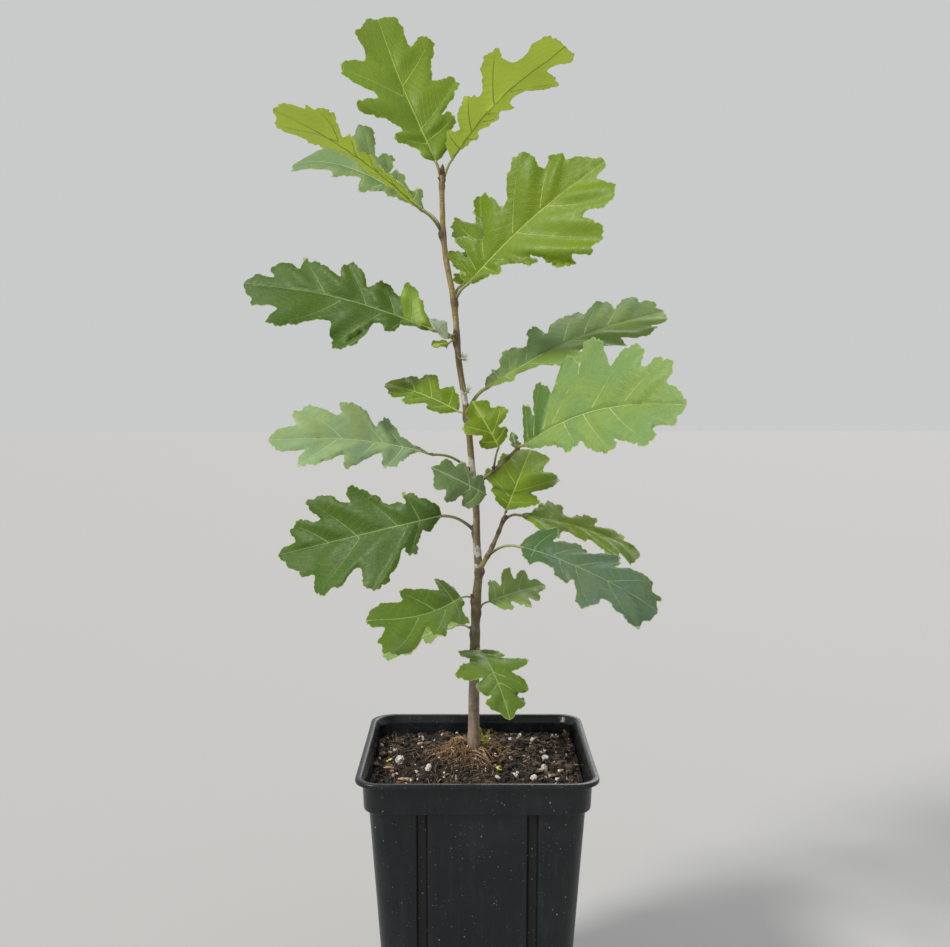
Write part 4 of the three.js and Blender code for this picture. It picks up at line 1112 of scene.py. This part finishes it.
def make_pot():
    """The pot, hollow, with a rounded lip and drain holes through its floor."""
    lip_foot = POT_HEIGHT - LIP_HEIGHT
    ledge = BAND_FOOT + WALL
    section = [
        (BODY_FOOT_HALF - 8, 0, BODY_CORNER - 4, CHANNEL_DEPTH, 0),
        (BODY_FOOT_HALF, 0, BODY_CORNER, CHANNEL_DEPTH, 1.5),
        (BODY_TOP_HALF, BAND_FOOT - 0.5, BODY_CORNER, CHANNEL_DEPTH, 0.6),
        (BODY_TOP_HALF + 0.3, BAND_FOOT, BODY_CORNER, 0, 0),
        (BAND_FOOT_HALF, BAND_FOOT, BAND_CORNER, 0, 1.6),
        (BAND_TOP_HALF, lip_foot, BAND_CORNER, 0, 0.5),
        (LIP_HALF, lip_foot, LIP_CORNER, 0, 0.7),
        (LIP_HALF, POT_HEIGHT, LIP_CORNER, 0, 1.3),
        (BAND_TOP_HALF + 0.6, POT_HEIGHT, BAND_CORNER, 0, 1.3),
        (BAND_TOP_HALF - WALL, lip_foot - WALL, BODY_CORNER, 0, 0.8),
        (BAND_FOOT_HALF - WALL, ledge + WALL, BODY_CORNER, 0, 0.6),
        (BODY_TOP_HALF - WALL, ledge, BODY_CORNER - WALL, 0, 0.4),
        (BODY_TOP_HALF - WALL, ledge - 0.5, BODY_CORNER - WALL, CHANNEL_DEPTH, 0),
        (body_half(POT_FLOOR) - WALL, POT_FLOOR, BODY_CORNER - WALL, CHANNEL_DEPTH, 0),
    ]
    line = rounded(section, ROUND_STEPS)
    dense = [line[0]]
    for a, b in zip(line, line[1:]):
        parts = max(1, int(np.linalg.norm((b - a)[:2]) / LONGEST_STEP))
        dense.extend(a + (b - a) * k / parts for k in range(1, parts + 1))
    points, faces = loft([pot_ring(*row) for row in dense])
    points[:, :2] *= 1 + WALL_WAVE * smooth_noise(points * (1, 1, 0.6), WALL_WAVE_SIZE, 2, seed=3)[:, None]
    material = pot_paint()
    pot = make_object("pot_shell", points, faces, [material], sharp=40)
    holes = Heap()
    for x, y in itertools.product((-DRAIN_REACH, 0, DRAIN_REACH), repeat=2):
        if x or y:
            holes.add(*tube([(x, y, -5), (x, y, POT_FLOOR + 5)], [DRAIN_RADIUS] * 2, DRAIN_SIDES)[:2])
    cutter = holes.make("drain_cutter", material)
    cut = pot.modifiers.new("drain", "BOOLEAN")
    cut.object = cutter
    cut.operation = "DIFFERENCE"
    cut.solver = "MANIFOLD"
    bpy.context.view_layer.update()
    shell = pot.evaluated_get(bpy.context.evaluated_depsgraph_get())
    finished = bpy.data.meshes.new_from_object(shell)
    pot.modifiers.remove(cut)
    pot.data = finished
    bpy.data.objects.remove(cutter)
    dress(pot, "pot_plastic", "pot")


def soil_level(x, y):
    """The height of the potting mix over a place in the pot."""
    share = np.maximum(np.abs(x), np.abs(y)) / SOIL_HALF
    round_share = np.hypot(x, y) / SOIL_HALF
    mound = SOIL_MOUND * ease((0.98 - 0.55 * share - 0.45 * round_share) / 0.86)
    spot = np.stack([x, y, np.zeros_like(x)], -1)
    lumps = 1.9 * smooth_noise(spot, 11, 3, seed=5) + 0.5 * smooth_noise(spot, 2.6, 2, seed=9)
    heaped, hollow = (size * bump((x - at_x) / reach_x) * bump((y - at_y) / reach_y)
                      for at_x, at_y, reach_x, reach_y, size in (HEAP, HOLLOW))
    return SOIL_EDGE_LEVEL + mound + lumps * (0.45 + 0.55 * ease(round_share / 0.3)) + heaped - hollow


def make_soil(material):
    """The potting mix: a closed body that fills the pot, with a lumpy top over it."""
    ledge = BAND_FOOT + WALL
    brim = ledge + WALL + GAP
    clear = WALL + GAP
    foot = POT_FLOOR + GAP
    heap = Heap()
    heap.add(*loft([
        pot_ring(body_half(foot) - clear, foot, BODY_CORNER - clear, CHANNEL_DEPTH),
        pot_ring(BODY_TOP_HALF - clear, ledge, BODY_CORNER - clear, CHANNEL_DEPTH),
        pot_ring(BODY_TOP_HALF - clear, ledge + GAP, BODY_CORNER - clear, 0),
        pot_ring(SOIL_HALF, brim, BODY_CORNER, 0),
    ]))
    edge = pot_ring(SOIL_HALF, brim, BODY_CORNER, 0)
    edge = np.vstack([edge, edge[:1]])
    run = run_along(edge)
    edge = sample(edge, run, np.linspace(0, run[-1], SOIL_SIDES + 1)[:-1])
    top = edge * np.linspace(1, 0.02, SOIL_RINGS)[:, None, None]
    top[..., 2] = soil_level(top[..., 0], top[..., 1])
    heap.add(*loft([edge, *top]))
    dress(heap.make("potting_mix_body", material, sharp=80), "potting_mix", "root_ball")


def ball(levels):
    """The points and triangles of a unit ball made from an icosahedron."""
    g = (1 + math.sqrt(5)) / 2
    points = [(-1, g, 0), (1, g, 0), (-1, -g, 0), (1, -g, 0), (0, -1, g), (0, 1, g),
              (0, -1, -g), (0, 1, -g), (g, 0, -1), (g, 0, 1), (-g, 0, -1), (-g, 0, 1)]
    faces = [(0, 11, 5), (0, 5, 1), (0, 1, 7), (0, 7, 10), (0, 10, 11), (1, 5, 9), (5, 11, 4),
             (11, 10, 2), (10, 7, 6), (7, 1, 8), (3, 9, 4), (3, 4, 2), (3, 2, 6), (3, 6, 8),
             (3, 8, 9), (4, 9, 5), (2, 4, 11), (6, 2, 10), (8, 6, 7), (9, 8, 1)]
    points = [unit(p) for p in points]
    for _ in range(levels):
        middles, finer = {}, []

        def between(a, b):
            key = (min(a, b), max(a, b))
            if key not in middles:
                middles[key] = len(points)
                points.append(unit(points[a] + points[b]))
            return middles[key]

        for a, b, c in faces:
            ab, bc, ca = between(a, b), between(b, c), between(c, a)
            finer.extend([(a, ab, ca), (b, bc, ab), (c, ca, bc), (ab, bc, ca)])
        faces = finer
    return np.array(points), np.array(faces)


def turned(points, rng):
    """Points turned to a random attitude."""
    a, b, c, d = unit(rng.normal(size=4))
    turn = np.array([
        [1 - 2 * (c * c + d * d), 2 * (b * c - d * a), 2 * (b * d + c * a)],
        [2 * (b * c + d * a), 1 - 2 * (b * b + d * d), 2 * (c * d - b * a)],
        [2 * (b * d - c * a), 2 * (c * d + b * a), 1 - 2 * (b * b + c * c)],
    ])
    return points @ turn.T


def spin(rng, tilt):
    """A turn about the upright with a small random tilt."""
    a, b = rng.uniform(0, 2 * math.pi), rng.normal(0, tilt)
    flat = np.array([[math.cos(a), -math.sin(a), 0], [math.sin(a), math.cos(a), 0], [0, 0, 1]])
    lean = np.array([[1, 0, 0], [0, math.cos(b), -math.sin(b)], [0, math.sin(b), math.cos(b)]])
    return lean @ flat


def scatter(rng, count):
    """Random places on the potting mix inside the pot, off the stem."""
    inside = SOIL_HALF - EDGE_CLEAR
    spots = []
    while len(spots) < count:
        x, y = rng.uniform(-inside, inside, 2)
        corner = np.maximum(0, np.abs([x, y]) - (inside - BODY_CORNER))
        if np.hypot(*corner) < BODY_CORNER and math.hypot(x - STEM_FOOT_X, y) > STEM_CLEAR:
            spots.append((x, y))
    return np.array(spots)


def grains(name, material, rng, count, sizes, flat, rough, levels, sunk, slim=(0.6, 1), spots=None):
    """Many irregular grains on the potting mix, at random or at given places with their lengths.

    Sizes are half the length, and slim and flat are the width and thickness as shares of it.
    """
    points, faces = ball(levels)
    heap = Heap()
    for x, y, *length in scatter(rng, count) if spots is None else spots:
        size = sizes[0] * (sizes[1] / sizes[0]) ** (rng.random() ** 1.6)
        size = length[0] / 2 if length else size
        shape = points * (1 + rough * rng.uniform(-1, 1, (len(points), 1)))
        shape = shape * size * (1, rng.uniform(*slim), rng.uniform(*flat))
        shape = turned(shape, rng) if flat[0] > 0.4 else shape @ spin(rng, 0.5)
        heap.add(shape + (x, y, soil_level(x, y) - shape[:, 2].min() * sunk), faces)
    dress(heap.make(name, material, sharp=38), "potting_mix")


def fibres(name, material, rng, count, lengths, radii, lift):
    """Thin strands that lie on the potting mix in loose curves."""
    heap = Heap()
    steps = 9
    limit = SOIL_HALF - STRAND_CLEAR
    for x, y in scatter(rng, count):
        length = rng.uniform(*lengths)
        heading = rng.uniform(0, 2 * math.pi) + np.cumsum(rng.normal(0, 0.32, steps))
        line = np.cumsum(np.stack([np.cos(heading), np.sin(heading)], -1) * length / steps, axis=0) + (x, y)
        line = np.clip(line, -limit, limit)
        rise = lift * np.sin(np.linspace(0, math.pi, steps)) * rng.uniform(0, 1)
        z = soil_level(line[:, 0], line[:, 1]) + rise + rng.uniform(0.0, 0.5)
        radius = rng.uniform(*radii) * (1 - 0.6 * np.abs(np.linspace(-1, 1, steps)))
        heap.add(*tube(np.column_stack([line, z]), radius, STRAND_SIDES)[:2])
    dress(heap.make(name, material), "potting_mix")


def foot_roots(name, material, rng, count, reach, lengths, radii, lift):
    """Fibrous roots heaped round the stem's foot, each a short strand that wanders outwards."""
    heap = Heap()
    steps = 11
    share = np.linspace(0, 1, steps)
    for _ in range(count):
        angle = rng.uniform(0, 2 * math.pi)
        start = reach[0] + (reach[1] - reach[0]) * rng.random() ** 1.8
        heading = angle + rng.normal(0, 0.6) + np.cumsum(rng.normal(0, 0.3, steps))
        stride = rng.uniform(*lengths) / steps
        x = ROOT_MIDDLE[0] + start * math.cos(angle) + np.cumsum(np.cos(heading)) * stride
        y = ROOT_MIDDLE[1] + start * math.sin(angle) + np.cumsum(np.sin(heading)) * stride
        high = rng.random() * lift * bump(start / reach[1])
        rise = high * np.sin(math.pi * (0.25 + 0.75 * share))
        z = soil_level(x, y) + 0.2 + rise + rng.normal(0, 0.15, steps)
        radius = rng.uniform(*radii) * (1 - 0.6 * share)
        heap.add(*tube(np.column_stack([x, y, z]), radius, STRAND_SIDES)[:2])
    dress(heap.make(name, material), "potting_mix")


def make_weed(rng):
    """A tiny yellow-green weed beside the stem, and some bits of it on the potting mix."""
    green = plain_paint("weed", (0.42, 0.48, 0.04), (0.62, 0.66, 0.10), 1.0, 0.6, 0.1)
    points, faces = ball(1)
    heap = Heap()
    for _ in range(5):
        foot = np.array([5.5, 5.0, 0]) + rng.normal(0, 1, 3) * (1, 1, 0)
        foot[2] = soil_level(foot[0], foot[1])
        lean = np.array([rng.normal(0, 0.25), rng.normal(0, 0.25), 1]) * rng.uniform(7, 14)
        line = foot + lean * np.linspace(0, 1, 5)[:, None]
        heap.add(*tube(line, [0.25] * 5, STRAND_SIDES)[:2])
        for share in (0.45, 0.7, 1.0):
            heap.add(turned(points * (1.5, 0.9, 0.3), rng) + foot + lean * share, faces)
    for x, y in WEED_BITS:
        heap.add(turned(points * (1.6, 0.9, 0.4), rng) + (x, y, soil_level(x, y) + 0.8), faces)
    dress(heap.make("weed", green), "potting_mix")


def make_ground_cover():
    """The potting mix, and the grains, chips, strands and roots on it."""
    rng = np.random.default_rng(11)
    make_soil(soil_paint())
    crumb = plain_paint("crumb", (0.005, 0.0035, 0.0028), (0.026, 0.016, 0.010), 1.5, 0.9, 0.5)
    brown = plain_paint("brown_crumb", (0.030, 0.017, 0.009), (0.130, 0.078, 0.042), 1.6, 0.85, 0.4)
    white = plain_paint("white_grain", (0.42, 0.40, 0.36), (0.78, 0.76, 0.72), 0.8, 0.85, 0.35)
    tan = plain_paint("tan_chip", (0.17, 0.105, 0.058), (0.50, 0.37, 0.23), 1.8, 0.8, 0.3, (1, 0.3, 1))
    root = plain_paint("orange_root", (0.11, 0.052, 0.018), (0.34, 0.190, 0.075), 1.6, 0.7, 0.25)
    pale = plain_paint("pale_root", (0.32, 0.20, 0.10), (0.62, 0.46, 0.28), 1.6, 0.7, 0.25)
    dull = plain_paint("brown_root", (0.050, 0.030, 0.016), (0.20, 0.130, 0.072), 1.8, 0.75, 0.25)
    grains("dark_crumbs", crumb, rng, 2300, (0.5, 2.4), (0.5, 1.0), 0.25, 0, 0.55)
    grains("brown_crumbs", brown, rng, 950, (0.4, 1.8), (0.3, 0.8), 0.28, 0, 0.6)
    grains("bark_chips", brown, rng, 150, (1.4, 4.2), (0.16, 0.32), 0.22, 1, 0.9, (0.4, 1))
    grains("white_grains", white, rng, 240, (0.4, 1.6), (0.6, 1.0), 0.16, 1, 0.6)
    grains("tan_chips", tan, rng, 190, (0.5, 2.6), (0.15, 0.3), 0.2, 1, 0.8, (0.25, 0.7))
    grains("big_white_grains", white, rng, 0, (1, 1), (0.5, 0.8), 0.18, 2, 0.5, spots=BIG_WHITE)
    grains("big_tan_chips", tan, rng, 0, (1, 1), (0.16, 0.22), 0.1, 2, 0.55, (0.42, 0.6), BIG_TAN)
    fibres("dark_strands", dull, rng, 380, (5, 18), (0.12, 0.30), 2.2)
    fibres("light_strands", root, rng, 130, (4, 13), (0.09, 0.22), 2.2)
    foot_roots("foot_roots_orange", root, rng, 230, (2.5, 22), (7, 20), (0.16, 0.42), 5)
    foot_roots("foot_roots_brown", dull, rng, 220, (2.5, 27), (8, 24), (0.16, 0.55), 4.5)
    foot_roots("foot_roots_pale", pale, rng, 60, (2.5, 24), (6, 22), (0.14, 0.34), 6)
    make_weed(rng)


def make_bark(name, slot, node, material, line, radii, level, knot):
    """A limb's skin round its line, which carries a level and a knot's darkness for the shader."""
    points, faces, _ = tube(line, radii, radii.shape[1])
    marks = np.zeros((*radii.shape, 3))
    marks[..., 0] = level[:, None]
    marks[..., 1] = np.clip(knot, 0, 0.8)
    thing = make_object(name, points + LIFT, faces, [material], {"bark": marks.reshape(-1, 3)})
    dress(thing, slot, node)


def make_trunk(material):
    """The main stem with its flare, knots and bark relief."""
    line, radii = LIMBS["stem"]
    points, _, outs = tube(line, radii, STEM_SIDES)
    shape = outs.shape[:2]
    height = line[:, 2:]
    swell, knot = np.zeros(shape), np.zeros(shape)
    limbs = [(leaf.at, leaf.base, 1.0 if leaf.at < 350 else 0.4) for leaf in LEAVES if leaf.limb == "stem"]
    limbs += [(shoot.at, shoot.tip, 1.5) for shoot in SHOOTS]
    for at, towards, size in limbs:
        way = (np.array(towards, float) - place_on("stem", at)) * (1, 1, 0)
        facing = np.maximum(0, outs @ unit(way))
        near = bump((height - at + 0.6) / 3.2)
        swell += (0.9 * facing**2 + 0.22) * size * near
        knot += size * (facing**1.5 * bump((height - at - 0.2) / 3.0) + 0.3 * near)
    grain = 0.09 * smooth_noise(points, 2.4, 3, seed=21).reshape(shape)
    ridges = 0.1 * smooth_noise(points * (1, 1, 0.14), 1.7, 2, seed=23).reshape(shape)
    flare = 0.5 * np.cos(5 * circle(STEM_SIDES)) * np.exp(-height / 7)
    total = radii[:, None] * (1 + 0.02 * np.sin(height / 5)) + swell + grain + ridges + flare
    make_bark("stem", "bark", "trunk", material, line, total, line[:, 2], knot)


def make_shoot(shoot, material):
    """A side shoot with small knots along it."""
    line, radii = LIMBS[shoot.name]
    share = np.linspace(0, 1, len(line))
    knots = [leaf.at for leaf in LEAVES if leaf.limb == shoot.name] + [0.55, 0.78]
    near = sum(bump((share - at) / 0.05) for at in knots)
    points, _, outs = tube(line, radii, SHOOT_SIDES)
    grain = 0.08 * smooth_noise(points, 1.8, 3, seed=31).reshape(outs.shape[:2])
    total = (radii + 0.28 * near + 0.5 * np.exp(-share / 0.12))[:, None] + grain
    total[-1] *= 0.6
    name = "bark_" + shoot.name
    make_bark(name, "shoot_bark", shoot.name, material, line, total, share, 0.75 * near[:, None])


def bud(foot, lean, length, radius, sides=16, rows=18):
    """A pointed bud with rows of overlapping scales."""
    share = np.linspace(0, 1, rows)
    profile = np.sin(math.pi * share**0.72 * 0.94 + 0.17) ** 0.8
    profile[-1] = 0.03
    line = np.array(foot) + unit(lean) * (share * length)[:, None]
    row = share[:, None] * 4.5
    step = np.floor(row)
    scale = (1 - (row - step)) * np.abs(np.cos(1.5 * circle(sides) + step * 0.9)) ** 0.5
    return tube(line, radius * profile[:, None] * (0.9 + 0.2 * scale), sides)[:2]


def make_buds():
    """The buds at the stem's tip and in the leaves' angles, a few thin bud threads, and downy tufts."""
    rng = np.random.default_rng(5)
    brown = plain_paint("bud_scale", (0.040, 0.022, 0.012), (0.16, 0.085, 0.042), 0.9, 0.55, 0.2)
    tan = plain_paint("bud_thread", (0.20, 0.13, 0.06), (0.40, 0.30, 0.17), 1.2, 0.6, 0.1)
    pale = plain_paint("downy_tuft", (0.34, 0.40, 0.24), (0.56, 0.62, 0.44), 1.0, 0.6, 0.1)
    buds, threads, down = Heap(), Heap(), Heap()
    tip = LIMBS["stem"][0][-1] + LIFT
    for lean, length, radius in TIP_BUDS:
        buds.add(*bud(tip - (0, 0, 1), lean, length, radius))
    for leaf in LEAVES:
        start = place_on(leaf.limb, leaf.at)
        out = unit(unit(np.array(leaf.base, float) - start) * (1, 1, 0.2))
        radius = stem_radius(leaf.at) if leaf.limb == "stem" else SHOOT_RADIUS
        for k in range(3 if leaf.at > 100 else 2):
            lean = unit(out * rng.uniform(0.5, 0.9) + rng.normal(0, 0.3, 3) + (0, 0, 0.9))
            side = np.cross(out, (0, 0, 1)) * rng.uniform(-0.9, 0.9)
            foot = start + LIFT + out * (radius * 0.9) + side + (0, 0, 1.4 + 0.5 * k)
            buds.add(*bud(foot, lean, rng.uniform(2.0, 3.4), rng.uniform(0.65, 0.95), 10, 10))
        if leaf.limb == "stem" and THREAD_HEIGHTS[0] < leaf.at < THREAD_HEIGHTS[1]:
            share = np.linspace(0, 1, 6)[:, None]
            foot = start + LIFT + out * radius + (0, 0, 1)
            for _ in range(THREADS_PER_LEAF):
                lean = unit(out + rng.normal(0, 0.5, 3) + (0, 0, 0.8))
                droop = np.array([0, 0, -1]) * share**2 * rng.uniform(0, 1.5)
                strand = foot + lean * share * rng.uniform(1.5, 3.5) + droop
                threads.add(*tube(strand, np.linspace(0.2, 0.08, 6), STRAND_SIDES)[:2])
    for at, way in TUFTS:
        way = unit(way)
        root = place_on("stem", at) + LIFT + way * (1, 1, 0) * stem_radius(at)
        share = np.linspace(0, 1, 5)[:, None]
        for _ in range(TUFT_STRANDS):
            lean = unit(way + rng.normal(0, 0.45, 3))
            strand = root + rng.normal(0, 0.45, 3) + lean * share * rng.uniform(2.0, 6.0)
            down.add(*tube(strand, np.linspace(0.32, 0.1, 5), STRAND_SIDES)[:2])
    dress(buds.make("buds", brown), "bark")
    dress(threads.make("bud_threads", tan), "bark")
    dress(down.make("tufts", pale), "leaf")


def make_leaves():
    """Each leaf as a piece in place of its plain solid, and the tiny leaves, which have no solid."""
    blades = {tone: leaf_paint(tone, *look) for tone, look in TONES.items()}
    stalk = stalk_paint()
    for seed, leaf in enumerate(LEAVES + LEAFLETS, 1):
        nodes = [leaf.name] if leaf in LEAVES else []
        name = "fine_" + leaf.name if nodes else leaf.name
        dress(leaf_mesh(leaf, seed).make(name, blades[leaf.tone], stalk, sharp=75), "leaf", *nodes)


def make_stage():
    """A plain pale floor, soft lights and the photograph's camera."""
    pale = Paint("pale_floor").shade(Base_Color=FLOOR_COLOUR, Roughness=0.9)
    corners = [(x * FLOOR_REACH, y * FLOOR_REACH, 0) for x, y in ((-1, -1), (1, -1), (1, 1), (-1, 1))]
    floor = make_object("floor", corners, [(0, 1, 2, 3)], [pale])
    scene = bpy.context.scene
    world = bpy.data.worlds.new("sky")
    world.use_nodes = True
    sky = world.node_tree.nodes["Background"]
    sky.inputs[0].default_value = (*SKY_COLOUR, 1)
    sky.inputs[1].default_value = SKY_STRENGTH
    scene.world = world
    for name, spot, power, softness, colour in LIGHTS:
        lamp = bpy.data.lights.new(name, "SUN")
        lamp.angle = math.radians(softness)
        lamp.energy = power
        lamp.color = colour
        holder = bpy.data.objects.new(name, lamp)
        holder.location = Vector(spot) * MM
        aim = Vector(LIT_SPOT) * MM - holder.location
        holder.rotation_euler = aim.to_track_quat("-Z", "Y").to_euler()
        scene.collection.objects.link(holder)
    eye = bpy.data.cameras.new("camera")
    eye.sensor_fit = "HORIZONTAL"
    eye.sensor_width = SENSOR_WIDTH
    eye.lens = FOCAL_PX / FRAME_WIDTH_PX * SENSOR_WIDTH
    camera = bpy.data.objects.new("camera", eye)
    camera.location = Vector(EYE) * MM
    level = math.cos(PITCH_DOWN)
    ahead = Vector((math.sin(YAW_RIGHT) * level, math.cos(YAW_RIGHT) * level, -math.sin(PITCH_DOWN)))
    camera.rotation_euler = ahead.to_track_quat("-Z", "Y").to_euler()
    scene.collection.objects.link(camera)
    scene.camera = camera
    scene.view_settings.view_transform = "Standard"


make_stage()
make_pot()
make_ground_cover()
make_trunk(bark_paint("stem_bark", BARK_BANDS, 0.35, SILVER_BANDS))
shoot_bark = bark_paint("shoot_bark", SHOOT_BANDS, 0.15)
for side_shoot in SHOOTS:
    make_shoot(side_shoot, shoot_bark)
make_buds()
make_leaves()
